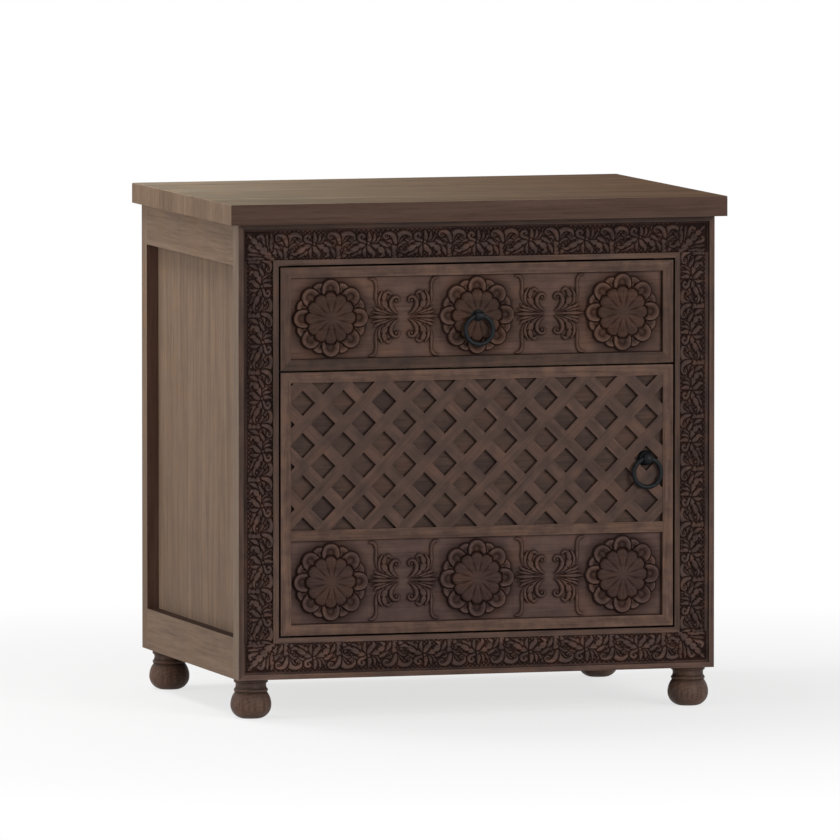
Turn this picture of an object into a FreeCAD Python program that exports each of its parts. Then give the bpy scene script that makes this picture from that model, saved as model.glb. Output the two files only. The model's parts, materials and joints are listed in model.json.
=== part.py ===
import FreeCAD, Part
import math
import os
from types import SimpleNamespace

import Sketcher

# A carved nightstand: a case on turned feet, with one drawer over one door.
# X runs across, +Y runs from the front to the back and +Z is up. The origin is on the floor, under the
# middle of the top. All sizes are in millimetres.
SIZES = {
    # Case
    "carcass_width": 610,
    "carcass_depth": 445,
    "carcass_height": 559,
    "top_thickness": 25,
    "top_overhang": 12.5,
    "top_edge_round": 1.5,
    # Face frame around the drawer and the door
    "frame_width": 51,
    "frame_thick": 25,
    "lip_width": 6.5,
    "field_depth": 4,
    # Sides and back
    "side_thick": 20,
    "side_rail_height": 51,
    "rear_stile_width": 23.5,
    "panel_recess": 15,
    "side_rabbet": 6,
    "panel_fit": 0.2,
    "back_thick": 6,
    "back_rail_thick": 20,
    "back_rail_height": 45,
    "floor_thick": 12,
    # Corner blocks and their fasteners
    "block_width": 42,
    "corner_block_height": 30,
    "foot_block_length": 46,
    "foot_bolt_diameter": 6,
    "foot_bolt_in_foot": 24,
    "foot_bolt_in_block": 30,
    "top_screw_diameter": 4,
    "top_screw_in_top": 14,
    "top_screw_head_diameter": 8,
    "top_screw_head_height": 3,
    "screw_fit": 0.1,
    # Turned feet
    "foot_height": 49,
    "foot_inset_side": 24,
    "foot_inset_front": 31,
    "foot_inset_rear": 40,
    "foot_disc_radius": 21,
    "foot_disc_height": 4.5,
    "foot_neck_radius": 18.8,
    "foot_neck_height": 7.5,
    "foot_bead_radius": 21,
    "foot_bead_height": 4.6,
    "foot_collar_radius": 19.7,
    "foot_bulb_radius": 25.2,
    "foot_bulb_level": 16.5,
    "foot_sole_radius": 12,
    # Drawer front and door
    "front_gap": 2.5,
    "stop_gap": 2,
    "strip_width": 13,
    "strip_rabbet": 4,
    "ground_depth": 6,
    "relief_setback": 0.6,
    "drawer_height": 126.5,
    "lower_panel_height": 103,
    # Rosettes of the carved panels
    "rosette_margin": 4,
    "rosette_radius": 47.5,
    "rosette_lobe_depth": 9,
    "rosette_petal_rise": 4.2,
    "rosette_heart_radius": 31.5,
    "rosette_heart_lobe_depth": 3,
    "rosette_heart_rise": 7.5,
    # Lattice of the door
    "lattice_pitch": 51.8,
    "slat_width": 14.4,
    # Drawer box and what it runs on
    "divider_height": 18,
    "divider_depth": 30,
    "drawer_box_inset": 1.5,
    "drawer_box_drop": 12,
    "drawer_side_thick": 12,
    "drawer_back_thick": 12,
    "drawer_back_room": 41,
    "drawer_bottom_thick": 5,
    "drawer_bottom_lift": 8,
    "drawer_groove": 5,
    "slide_gap": 0.4,
    "side_play": 1.2,
    "runner_height": 16,
    "runner_ledge": 15,
    "guide_height": 22,
    "kicker_height": 22,
    "kicker_gap": 2,
    # Door pivots
    "pivot_inset": 7,
    "pivot_depth": 4.5,
    "pivot_pin_diameter": 3.5,
    "pivot_pin_reach": 8.5,
    "pivot_clearance": 0.05,
    "press_gap": 0.02,
    "bush_diameter": 5.5,
    "bush_length": 9,
    "bracket_thick": 1.6,
    "bracket_width": 11,
    "bracket_lead": 3.5,
    "bracket_nose": 4.5,
    "bracket_leaf_length": 30,
    "bracket_screw_pitch": 11,
    "bracket_screw_diameter": 3,
    "bracket_screw_length": 18,
    "bracket_screw_head_diameter": 5.4,
    "bracket_screw_head_height": 1,
    # Magnetic catch
    "catch_width": 40,
    "catch_inset": 24,
    "catch_depth": 16,
    "catch_height": 11,
    "strike_thick": 1.2,
    "strike_height": 7,
    "strike_lift": 1,
    # Ring pulls
    "ring_radius": 17.6,
    "ring_wire_diameter": 5.5,
    "ring_standoff": 5.45,
    "eye_diameter": 10.8,
    "eye_width": 11,
    "eye_hole_play": 0.3,
    "pull_plate_diameter": 15,
    "pull_plate_thick": 2,
    "pull_neck_diameter": 10,
    "pull_stem_diameter": 5,
    "pull_rivet_diameter": 9,
    "pull_rivet_thick": 2,
    "door_pull_inset": 34.4,
    "door_pull_drop": 102.5,
}
ROSETTE_PLACES = (-1, 0, 1)
OUTER_PETALS = 8
HEART_PETALS = 12
RELIEF_ROOT = 1.0
DIAGONAL = math.sqrt(0.5)
LEFT, RIGHT = -1, 1
SIDE_NAMES = {LEFT: "left", RIGHT: "right"}

doc = FreeCAD.newDocument("carved_nightstand")
sheet = doc.addObject("Spreadsheet::Sheet", "Sizes")
for row, (alias, number) in enumerate(SIZES.items(), start=1):
    sheet.set(f"A{row}", alias)
    sheet.set(f"B{row}", str(number))
    sheet.setAlias(f"B{row}", alias)
doc.recompute()

pieces = []


class Size:
    """A length: its number, and the formula that gives it from the sheet."""

    def __init__(self, formula, number):
        self.formula = formula
        self.number = number

    def __add__(self, other):
        return Size(f"({self.formula} + {formula(other)})", self.number + value(other))

    def __sub__(self, other):
        return Size(f"({self.formula} - {formula(other)})", self.number - value(other))

    def __mul__(self, other):
        return Size(f"({self.formula} * {formula(other)})", self.number * value(other))

    def __truediv__(self, other):
        return Size(f"({self.formula} / {formula(other)})", self.number / value(other))

    def __neg__(self):
        return Size(f"(0 - {self.formula})", -self.number)


def formula(length):
    return length.formula if isinstance(length, Size) else f"{length:.9f}"


def value(length):
    return length.number if isinstance(length, Size) else float(length)


ZERO = Size("0", 0.0)
size = SimpleNamespace(**{alias: Size(f"Sizes.{alias}", float(number)) for alias, number in SIZES.items()})

# Main planes and heights
half_width = size.carcass_width / 2
front = (size.top_overhang - size.carcass_depth) / 2
back = front + size.carcass_depth
base = size.foot_height
ceiling = base + size.carcass_height
frame_back = front + size.frame_thick
inside_half = half_width - size.side_thick
back_panel_face = back - size.back_thick
back_rail_face = back_panel_face - size.back_rail_thick

# Opening of the face frame, drawer front and door
opening_half = half_width - size.frame_width
opening_low = base + size.frame_width
opening_high = ceiling - size.frame_width
floor_under = opening_low - size.floor_thick
front_half = opening_half - size.front_gap
drawer_top = opening_high - size.front_gap
drawer_low = drawer_top - size.drawer_height
door_top = drawer_low - size.front_gap
door_low = opening_low + size.front_gap
front_thick = size.frame_thick - size.stop_gap
front_back = front + front_thick
ground = front + size.ground_depth
relief_top = front + size.relief_setback
heart_top = ground - size.rosette_heart_rise
panel_half = front_half - size.strip_width
panel_seat = size.strip_rabbet - size.panel_fit
middle_rail_low = door_low + size.strip_width + size.lower_panel_height
middle_rail_high = middle_rail_low + size.strip_width
lattice_high = door_top - size.strip_width

# Drawer box and divider
divider_low = drawer_low - size.front_gap / 2 - size.divider_height / 2
divider_top = divider_low + size.divider_height
divider_back = frame_back + size.divider_depth
box_half = front_half - size.drawer_box_inset
box_low = divider_top + size.slide_gap
box_high = drawer_top - size.drawer_box_drop
box_back = back_panel_face - size.drawer_back_room
box_inner_half = box_half - size.drawer_side_thick
ledge_half = box_half - size.runner_ledge

# Pull places
drawer_pull = (ZERO, (drawer_low + drawer_top) / 2)
door_pull = (front_half - size.door_pull_inset, lattice_high - size.door_pull_drop)


def bind(target, path, length):
    target.setExpression(path, formula(length))


def place(target, x, y, z, rotation=None):
    if rotation is not None:
        target.Placement = FreeCAD.Placement(FreeCAD.Vector(), rotation)
    for axis, length in zip("xyz", (x, y, z)):
        bind(target, f"Placement.Base.{axis}", length)


def keep(target, label):
    """Names a finished sub-part and lists it for writing."""
    target.Label = label
    pieces.append(target)
    return target


# Directions that a rod can point in
TO_FRONT = FreeCAD.Rotation(FreeCAD.Vector(1, 0, 0), 90)
TO_RIGHT = FreeCAD.Rotation(FreeCAD.Vector(0, 1, 0), 90)
UPWARD = FreeCAD.Rotation()


def board(name, low, high):
    """A straight board between its lowest and highest corners."""
    box = doc.addObject("Part::Box", name)
    for side, start, end in zip(("Length", "Width", "Height"), low, high):
        bind(box, side, end - start)
    place(box, *low)
    return box


def rod(name, diameter, length, start, direction=UPWARD):
    cylinder = doc.addObject("Part::Cylinder", name)
    bind(cylinder, "Radius", diameter / 2)
    bind(cylinder, "Height", length)
    place(cylinder, *start, direction)
    return cylinder


def join(name, shapes):
    fused = doc.addObject("Part::MultiFuse", name)
    fused.Shapes = shapes
    return fused


def group(name, shapes):
    """Separate solids that share one sub-part."""
    compound = doc.addObject("Part::Compound", name)
    compound.Links = shapes
    return compound


def subtract(name, blank, cutters):
    cut = doc.addObject("Part::Cut", name)
    cut.Base = blank
    cut.Tool = cutters[0] if len(cutters) == 1 else join(f"{name}_cutters", cutters)
    return cut


def origin_plane(body, role):
    return [feature for feature in body.Origin.OriginFeatures if feature.Role == role][0]


def new_sketch(body, name, role, lift=0):
    sketch = body.newObject("Sketcher::SketchObject", name)
    sketch.AttachmentSupport = [(origin_plane(body, role), "")]
    sketch.MapMode = "FlatFace"
    bind(sketch, "AttachmentOffset.Base.z", lift)
    return sketch


def tie(sketch, kind, geometry, point, length):
    """Ties one coordinate of a sketch point to a size."""
    index = sketch.addConstraint(Sketcher.Constraint(kind, -1, 1, geometry, point, value(length)))
    sketch.setExpression(f"Constraints[{index}]", formula(length))


def outline(sketch, corners, arc_levels=None):
    """A closed outline through corners. A side that is an arc has the height of its centre in arc_levels."""
    arc_levels = arc_levels or {}
    spots = [FreeCAD.Vector(value(x), value(y), 0) for x, y in corners]
    count = len(corners)
    for index, start in enumerate(spots):
        end = spots[(index + 1) % count]
        if index in arc_levels:
            sketch.addGeometry(arc_between(start, end, value(arc_levels[index])), False)
        else:
            sketch.addGeometry(Part.LineSegment(start, end), False)
    for index, (x, y) in enumerate(corners):
        start_point = arc_ends(sketch, index, spots[index])[0]
        previous = (index - 1) % count
        previous_end = arc_ends(sketch, previous, spots[previous])[1]
        sketch.addConstraint(Sketcher.Constraint("Coincident", previous, previous_end, index, start_point))
        tie(sketch, "DistanceX", index, start_point, x)
        tie(sketch, "DistanceY", index, start_point, y)
    for index, level in arc_levels.items():
        tie(sketch, "DistanceY", index, 3, level)


def arc_between(start, end, centre_level):
    """The arc of a circle through two points whose centre is at a known height."""
    middle = (start + end) / 2
    run = end - start
    centre = FreeCAD.Vector(middle.x - (centre_level - middle.y) * run.y / run.x, centre_level, 0)
    circle = Part.Circle(centre, FreeCAD.Vector(0, 0, 1), start.distanceToPoint(centre))
    angles = [math.atan2(spot.y - centre.y, spot.x - centre.x) for spot in (start, end)]
    sweep = (angles[1] - angles[0]) % (2 * math.pi)
    if sweep > math.pi:
        angles.reverse()
    return Part.ArcOfCircle(circle, *angles)


def arc_ends(sketch, index, start):
    """The point numbers of the start and the end of a side, as the outline runs."""
    side = sketch.Geometry[index]
    forward = side.StartPoint.distanceToPoint(start) < side.EndPoint.distanceToPoint(start)
    return (1, 2) if forward else (2, 1)


def pad(body, sketch, length, downward=False):
    feature = body.newObject("PartDesign::Pad", f"{sketch.Name}_pad")
    feature.Profile = sketch
    feature.Reversed = downward
    bind(feature, "Length", length)
    return feature


def pocket(body, sketch, depth):
    """A sunk area, cut downward from the sketch."""
    feature = body.newObject("PartDesign::Pocket", f"{sketch.Name}_pocket")
    feature.Profile = sketch
    bind(feature, "Length", depth)
    return feature


def mitred_member(name, length, width, thick, corner, quarter_turns, field=None, rabbet=None):
    """One side of a mitred frame, with its long edge outside.

    It is drawn lying down with its face at height 0, then stood up and turned to its side of the frame.
    field is the lip and the depth of a sunk field in the face. rabbet is the width and the level of the step
    behind the inner edge."""
    body = doc.addObject("PartDesign::Body", name)

    def strip(label, near, far, lift=0):
        sketch = new_sketch(body, f"{name}_{label}", "XY_Plane", lift)
        outline(sketch, [(near, near), (length - near, near), (length - far, far), (far, far)])
        return sketch

    pad(body, strip("blank", ZERO, width), thick, downward=True)
    if field is not None:
        lip, depth = field
        pocket(body, strip("field", lip, width - lip), depth)
    if rabbet is not None:
        step, level = rabbet
        pocket(body, strip("rabbet", width - step, width, -level), thick - level)
    turn = FreeCAD.Rotation(FreeCAD.Vector(0, -1, 0), 90 * quarter_turns)
    place(body, *corner, turn.multiply(TO_FRONT))
    return body


def mitred_frame(names, half, low, high, width, thick, field=None, rabbet=None):
    """The four sides of a mitred frame: bottom, right, top and left."""
    corners = [(-half, front, low), (half, front, low), (half, front, high), (-half, front, high)]
    lengths = [half * 2, high - low] * 2
    return [mitred_member(name, length, width, thick, corner, turns, field, rabbet)
            for turns, (name, length, corner) in enumerate(zip(names, lengths, corners))]


def across(side, near, far):
    """The X range between two distances in from the outer face of one side of the case."""
    if side == LEFT:
        return near - half_width, far - half_width
    return half_width - far, half_width - near


def span(ranges):
    """The low and the high corner of a box from its three ranges."""
    return tuple(zip(*ranges))


# Feet, their blocks and bolts
foot_places = [(x, y) for y in (front + size.foot_inset_front, back - size.foot_inset_rear)
               for x in (size.foot_inset_side - half_width, half_width - size.foot_inset_side)]
foot_names = ["foot_front_left", "foot_front_right", "foot_rear_left", "foot_rear_right"]


def foot_profile(sketch):
    """Sole, bulb, bead, neck and top disc of a foot, outside to the right of its axis."""
    disc_low = size.foot_height - size.foot_disc_height
    neck_low = disc_low - size.foot_neck_height
    neck_level = neck_low + size.foot_neck_height / 2
    bead_low = neck_low - size.foot_bead_height
    bead_level = bead_low + size.foot_bead_height / 2
    corners = [
        (ZERO, ZERO),
        (size.foot_sole_radius, ZERO),
        (size.foot_bulb_radius, size.foot_bulb_level),
        (size.foot_collar_radius, bead_low),
        (size.foot_bead_radius, bead_level),
        (size.foot_collar_radius, neck_low),
        (size.foot_neck_radius, neck_level),
        (size.foot_collar_radius, disc_low),
        (size.foot_disc_radius, disc_low),
        (size.foot_disc_radius, size.foot_height),
        (ZERO, size.foot_height),
    ]
    arcs = {1: size.foot_bulb_level, 2: size.foot_bulb_level, 3: bead_level, 4: bead_level,
            5: neck_level, 6: neck_level}
    outline(sketch, corners, arcs)


def foot(name, x, y):
    turned = doc.addObject("PartDesign::Body", f"{name}_turning")
    sketch = new_sketch(turned, f"{name}_profile", "XZ_Plane")
    foot_profile(sketch)
    revolution = turned.newObject("PartDesign::Revolution", f"{name}_revolution")
    revolution.Profile = sketch
    revolution.ReferenceAxis = (sketch, ["V_Axis"])
    revolution.Angle = 360
    place(turned, x, y, ZERO)
    hole = foot_bolt(f"{name}_bolt_hole", x, y, size.screw_fit)
    keep(subtract(name, turned, [hole]), name)


def foot_bolt(name, x, y, play=0):
    """A bolt from a foot up into its block, or the hole for one."""
    length = size.foot_bolt_in_foot + size.foot_bolt_in_block
    low = base - size.foot_bolt_in_foot
    grown = size.foot_bolt_diameter + play * 2
    return rod(name, grown, length + play * 2, (x, y, low - play))


for name, (x, y) in zip(foot_names, foot_places):
    foot(name, x, y)

foot_block_depths = [(frame_back, frame_back + size.foot_block_length)] * 2
foot_block_depths += [(back_rail_face - size.foot_block_length, back_rail_face)] * 2
blocks = []
for index, (x, y) in enumerate(foot_places):
    side = (LEFT, RIGHT)[index % 2]
    width = across(side, size.side_thick, size.side_thick + size.block_width)
    blank = board(f"foot_block_blank_{index}", *span([width, foot_block_depths[index], (base, floor_under)]))
    hole = foot_bolt(f"foot_block_hole_{index}", x, y, size.screw_fit)
    blocks.append(subtract(f"foot_block_{index}", blank, [hole]))
keep(group("foot_block_group", blocks), "foot_blocks")
bolts = [foot_bolt(f"foot_bolt_{index}", x, y) for index, (x, y) in enumerate(foot_places)]
keep(group("foot_bolt_group", bolts), "foot_bolts")

# Top, with the corner blocks and screws that hold it
corner_block_depths = [(frame_back, frame_back + size.block_width),
                       (back_rail_face - size.block_width, back_rail_face)]


def top_screw(name, x, y, play=0):
    """A screw up through a corner block into the top, or the hole for one."""
    head_low = ceiling - size.corner_block_height
    head_top = head_low + size.top_screw_head_height
    head = rod(f"{name}_head", size.top_screw_head_diameter + play * 2, size.top_screw_head_height + play,
               (x, y, head_low))
    shank_length = ceiling + size.top_screw_in_top - head_top + play
    shank = rod(f"{name}_shank", size.top_screw_diameter + play * 2, shank_length, (x, y, head_top))
    return join(name, [head, shank])


def top_panel():
    body = doc.addObject("PartDesign::Body", "top_slab")
    sketch = new_sketch(body, "top_outline", "XY_Plane")
    top_half = half_width + size.top_overhang
    top_front = front - size.top_overhang
    outline(sketch, [(-top_half, top_front), (top_half, top_front), (top_half, back), (-top_half, back)])
    slab = pad(body, sketch, size.top_thickness)
    place(body, ZERO, ZERO, ceiling)
    doc.recompute()
    upper = max(range(len(slab.Shape.Faces)), key=lambda index: slab.Shape.Faces[index].CenterOfMass.z)
    rounding = body.newObject("PartDesign::Fillet", "top_rounding")
    rounding.Base = (slab, [f"Face{upper + 1}"])
    bind(rounding, "Radius", size.top_edge_round)
    return body


blocks = []
screws = []
screw_holes = []
for side in (LEFT, RIGHT):
    for depth in corner_block_depths:
        index = len(blocks)
        width = across(side, size.side_thick, size.side_thick + size.block_width)
        x, y = (width[0] + width[1]) / 2, (depth[0] + depth[1]) / 2
        blank = board(f"corner_block_blank_{index}",
                      *span([width, depth, (ceiling - size.corner_block_height, ceiling)]))
        hole = top_screw(f"top_screw_hole_{index}", x, y, size.screw_fit)
        blocks.append(subtract(f"corner_block_{index}", blank, [hole]))
        screws.append(top_screw(f"top_screw_{index}", x, y))
        screw_holes.append(hole)
keep(subtract("top_drilled", top_panel(), screw_holes), "top_panel")
keep(group("corner_block_group", blocks), "corner_blocks")
keep(group("top_screw_group", screws), "top_screws")

# Sides: rails and a rear stile around a sunk panel that runs up to the back of the face frame
rail_depth = (frame_back, back - size.rear_stile_width)
rabbet_depth = (frame_back, rail_depth[1] + size.side_rabbet)
panel_low = base + size.side_rail_height - size.side_rabbet
panel_high = ceiling - size.side_rail_height + size.side_rabbet
for side, word in SIDE_NAMES.items():
    full = across(side, ZERO, size.side_thick)
    inner = across(side, size.panel_recess, size.side_thick)
    seat = board(f"side_panel_seat_{word}", *span([inner, rabbet_depth, (panel_low, panel_high)]))
    frame_boards = {
        f"side_rail_top_{word}": (rail_depth, (ceiling - size.side_rail_height, ceiling)),
        f"side_rail_bottom_{word}": (rail_depth, (base, base + size.side_rail_height)),
        f"side_stile_rear_{word}": ((rail_depth[1], back), (base, ceiling)),
    }
    for name, (depth, height) in frame_boards.items():
        blank = board(f"{name}_blank", *span([full, depth, height]))
        keep(subtract(f"{name}_rabbeted", blank, [seat]), name)
    depth = (frame_back, rabbet_depth[1] - size.panel_fit)
    height = (panel_low + size.panel_fit, panel_high - size.panel_fit)
    keep(board(f"side_panel_board_{word}", *span([inner, depth, height])), f"side_panel_{word}")

# Back and floor of the case
between_sides = (-inside_half, inside_half)
keep(board("back_board", *span([between_sides, (back_panel_face, back), (base, ceiling)])), "back_panel")
rail_place = (back_rail_face, back_panel_face)
keep(board("back_rail_upper", *span([between_sides, rail_place, (ceiling - size.back_rail_height, ceiling)])),
     "back_rail_top")
keep(board("back_rail_lower", *span([between_sides, rail_place, (base, floor_under)])), "back_rail_bottom")
keep(board("floor_board", *span([between_sides, (frame_back, back_panel_face), (floor_under, opening_low)])),
     "cabinet_floor")

# Divider behind the gap between drawer and door, runners with their side guides, and kickers
keep(board("divider_board", *span([between_sides, (frame_back, divider_back), (divider_low, divider_top)])),
     "divider_rail")
kickers = []
for side, word in SIDE_NAMES.items():
    width = across(side, size.side_thick, half_width - ledge_half)
    guided = across(side, half_width - box_half - size.side_play, half_width - ledge_half)
    depth = (divider_back, back_panel_face)
    guide_top = divider_top + size.guide_height
    height = (divider_top - size.runner_height, guide_top)
    blank = board(f"runner_blank_{word}", *span([width, depth, height]))
    path = board(f"runner_path_{word}", *span([guided, depth, (divider_top, guide_top)]))
    keep(subtract(f"runner_{word}", blank, [path]), f"drawer_runner_{word}")
    kicker_low = box_high + size.kicker_gap
    kickers.append(board(f"kicker_{word}", *span([width, (frame_back, back_rail_face),
                                                  (kicker_low, kicker_low + size.kicker_height)])))
keep(group("kicker_group", kickers), "drawer_kickers")

# Door pivots: a bent bracket and a pin at the foot and at the head of the hinge stile
pivot_x = size.pivot_inset - front_half
pivot_y = front + size.pivot_depth
tongue_lift = (size.front_gap - size.bracket_thick) / 2
bracket_depth = (pivot_y - size.bracket_lead, pivot_y - size.bracket_lead + size.bracket_width)
leaf_width = (-opening_half - size.bracket_thick, -opening_half)
tongue_width = (leaf_width[0], pivot_x + size.bracket_nose)
tongue_lows = {"foot": opening_low + tongue_lift, "head": door_top + tongue_lift}


def bracket_screw(name, level, play=0):
    """A screw through a bracket's leaf into the hinge stile, or the hole for one."""
    y = (bracket_depth[0] + bracket_depth[1]) / 2
    head_start = -opening_half - size.bracket_screw_head_height - play
    head = rod(f"{name}_head", size.bracket_screw_head_diameter + play * 2,
               size.bracket_screw_head_height + play, (head_start, y, level), TO_RIGHT)
    tip = -opening_half - size.bracket_screw_length - play
    shank = rod(f"{name}_shank", size.bracket_screw_diameter + play * 2, head_start - tip,
                (tip, y, level), TO_RIGHT)
    return join(name, [head, shank])


brackets, pins, bushes, bush_holes, bracket_screws, stile_cutters = [], [], [], {}, [], []
for end, tongue_low in tongue_lows.items():
    tongue_high = tongue_low + size.bracket_thick
    at_foot = end == "foot"
    leaf_height = (tongue_low, tongue_low + size.bracket_leaf_length)
    if not at_foot:
        leaf_height = (tongue_high - size.bracket_leaf_length, tongue_high)
    leaf = board(f"bracket_leaf_{end}", *span([leaf_width, bracket_depth, leaf_height]))
    tongue = board(f"bracket_tongue_{end}", *span([tongue_width, bracket_depth, (tongue_low, tongue_high)]))
    pin_start = tongue_low if at_foot else door_top - size.pivot_pin_reach
    pin_end = door_low + size.pivot_pin_reach if at_foot else tongue_high
    pins.append(rod(f"pivot_pin_{end}", size.pivot_pin_diameter, pin_end - pin_start,
                    (pivot_x, pivot_y, pin_start)))
    pin_hole = rod(f"bracket_pin_hole_{end}", size.pivot_pin_diameter + size.press_gap * 2,
                   size.bracket_thick, (pivot_x, pivot_y, tongue_low))
    bush_low = door_low if at_foot else door_top - size.bush_length
    bush_blank = rod(f"bush_blank_{end}", size.bush_diameter, size.bush_length, (pivot_x, pivot_y, bush_low))
    bush_bore = rod(f"bush_bore_{end}", size.pivot_pin_diameter + size.pivot_clearance * 2, size.bush_length,
                    (pivot_x, pivot_y, bush_low))
    bushes.append(subtract(f"pivot_bush_{end}", bush_blank, [bush_bore]))
    bush_holes[end] = rod(f"bush_hole_{end}", size.bush_diameter + size.press_gap * 2, size.bush_length,
                          (pivot_x, pivot_y, bush_low))
    screw_holes = []
    for number in (1, 2):
        rise = size.bracket_screw_pitch * number
        level = tongue_low + rise if at_foot else tongue_high - rise
        bracket_screws.append(bracket_screw(f"bracket_screw_{end}_{number}", level))
        screw_holes.append(bracket_screw(f"bracket_screw_hole_{end}_{number}", level, size.screw_fit))
    brackets.append(subtract(f"bracket_{end}", join(f"bracket_bend_{end}", [leaf, tongue]),
                             [pin_hole] + screw_holes))
    stile_cutters += [leaf] + screw_holes
keep(group("bracket_group", brackets), "pivot_brackets")
keep(group("pin_group", pins), "pivot_pins")
keep(group("bush_group", bushes), "pivot_bushes")
keep(group("bracket_screw_group", bracket_screws), "pivot_screws")

# Face frame: four mitred members with a sunk field between two lips
frame_names = ["frame_rail_bottom", "frame_stile_right", "frame_rail_top", "frame_stile_left"]
frame_members = mitred_frame([f"{name}_moulded" for name in frame_names], half_width, base, ceiling,
                             size.frame_width, size.frame_thick, field=(size.lip_width, size.field_depth))
for name, member in zip(frame_names, frame_members):
    if name == "frame_stile_left":
        member = subtract("frame_stile_mortised", member, stile_cutters)
    keep(member, name)


# Carved panels with rosettes
def scalloped_tier(name, radius, lobe_depth, lobes, height, centre_x, centre_z):
    """A disc with a scalloped rim that stands out of a panel's ground towards the front."""
    tier = doc.addObject("Part::Feature", name)
    step = 2 * math.pi / lobes
    valley = value(radius) - value(lobe_depth)

    def spot(distance, turn):
        return FreeCAD.Vector(distance * math.cos(turn), 0, distance * math.sin(turn))

    edges = []
    for lobe in range(lobes):
        middle = lobe * step
        ends = (spot(valley, middle - step / 2), spot(valley, middle + step / 2))
        edges.append(Part.Arc(ends[0], spot(value(radius), middle), ends[1]).toShape())
    face = Part.Face(Part.Wire(edges))
    tier.Shape = face.extrude(FreeCAD.Vector(0, -(value(height) + RELIEF_ROOT), 0))
    place(tier, centre_x, ground + RELIEF_ROOT, centre_z)
    return tier


def carved_panel(name, low, high):
    seat_half = panel_half + panel_seat
    blank = board(f"{name}_blank", (-seat_half, ground, low - panel_seat),
                  (seat_half, front_back, high + panel_seat))
    centre_z = (low + high) / 2
    rosette_pitch = panel_half - size.rosette_margin - size.rosette_radius
    tiers = [blank]
    for number in ROSETTE_PLACES:
        centre_x = rosette_pitch * number
        tiers.append(scalloped_tier(f"{name}_petals_{number + 1}", size.rosette_radius,
                                    size.rosette_lobe_depth, OUTER_PETALS,
                                    size.rosette_petal_rise, centre_x, centre_z))
        tiers.append(scalloped_tier(f"{name}_heart_{number + 1}", size.rosette_heart_radius,
                                    size.rosette_heart_lobe_depth, HEART_PETALS,
                                    size.rosette_heart_rise, centre_x, centre_z))
    return join(f"{name}_carved", tiers)


# Ring pulls: a boss with an eye, riveted through its panel, and a ring that hangs in the eye
def stem_hole(name, spot):
    x, z = spot
    return rod(name, size.pull_stem_diameter + size.screw_fit * 2, size.frame_thick * 3,
               (x, frame_back + size.frame_thick, z), TO_FRONT)


def pull_boss(name, spot, seat, face):
    """A boss whose plate lies on a seat and whose eye stands off the face that its ring hangs over."""
    x, z = spot
    eye_y = face - size.ring_standoff
    plate_face = seat - size.pull_plate_thick
    plate = rod(f"{name}_plate", size.pull_plate_diameter, size.pull_plate_thick, (x, seat, z), TO_FRONT)
    stem_end = front_back + size.pull_rivet_thick
    stem = rod(f"{name}_stem", size.pull_stem_diameter, stem_end - seat, (x, stem_end, z), TO_FRONT)
    rivet = rod(f"{name}_rivet", size.pull_rivet_diameter, size.pull_rivet_thick, (x, stem_end, z), TO_FRONT)
    neck = rod(f"{name}_neck", size.pull_neck_diameter, plate_face - eye_y - size.ring_wire_diameter / 2,
               (x, plate_face, z), TO_FRONT)
    half_eye = size.eye_width / 2
    eye = rod(f"{name}_eye", size.eye_diameter, size.eye_width, (x - half_eye, eye_y, z), TO_RIGHT)
    sag = half_eye * half_eye / size.ring_radius / 2
    hole_diameter = size.ring_wire_diameter + (sag + size.eye_hole_play) * 2
    hole = rod(f"{name}_eye_hole", hole_diameter, size.pull_plate_diameter,
               (x - size.pull_plate_diameter / 2, eye_y, z), TO_RIGHT)
    solid = join(f"{name}_forged", [plate, stem, rivet, neck, eye])
    return keep(subtract(f"{name}_pierced", solid, [hole]), name)


def pull_ring(name, spot, face):
    x, z = spot
    ring = doc.addObject("Part::Torus", f"{name}_torus")
    bind(ring, "Radius1", size.ring_radius)
    bind(ring, "Radius2", size.ring_wire_diameter / 2)
    place(ring, x, face - size.ring_standoff, z - size.ring_radius, TO_FRONT)
    return keep(ring, name)


# Drawer: a mitred front frame, a carved panel and a box
strip_rabbet = (size.strip_rabbet, size.ground_depth)
drawer_strips = ["drawer_strip_bottom", "drawer_strip_right", "drawer_strip_top", "drawer_strip_left"]
for name, member in zip(drawer_strips, mitred_frame([f"{name}_moulded" for name in drawer_strips], front_half,
                                                    drawer_low, drawer_top, size.strip_width, front_thick,
                                                    rabbet=strip_rabbet)):
    keep(member, name)
drawer_carving = carved_panel("drawer_panel", drawer_low + size.strip_width, drawer_top - size.strip_width)
drawer_stem_hole = stem_hole("drawer_stem_hole", drawer_pull)
keep(subtract("drawer_panel_drilled", drawer_carving, [drawer_stem_hole]), "drawer_panel")
box_depth = (front_back, box_back)
bottom_low = box_low + size.drawer_bottom_lift
bottom_high = bottom_low + size.drawer_bottom_thick
bottom_half = box_inner_half + size.drawer_groove
groove = board("drawer_groove", (-bottom_half, front_back, bottom_low), (bottom_half, box_back, bottom_high))
for side, word in SIDE_NAMES.items():
    width = across(side, half_width - box_half, half_width - box_inner_half)
    blank = board(f"drawer_side_blank_{word}", *span([width, box_depth, (box_low, box_high)]))
    keep(subtract(f"drawer_side_grooved_{word}", blank, [groove]), f"drawer_side_{word}")
bottom_fit_half = bottom_half - size.panel_fit
keep(board("drawer_bottom_board", (-bottom_fit_half, front_back, bottom_low + size.panel_fit),
           (bottom_fit_half, box_back, bottom_high - size.panel_fit)), "drawer_bottom")
keep(board("drawer_back_board", (-box_inner_half, box_back - size.drawer_back_thick, bottom_high),
           (box_inner_half, box_back, box_high)), "drawer_back")
pull_boss("drawer_pull_boss", drawer_pull, heart_top, heart_top)
pull_ring("drawer_pull_ring", drawer_pull, heart_top)

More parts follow.
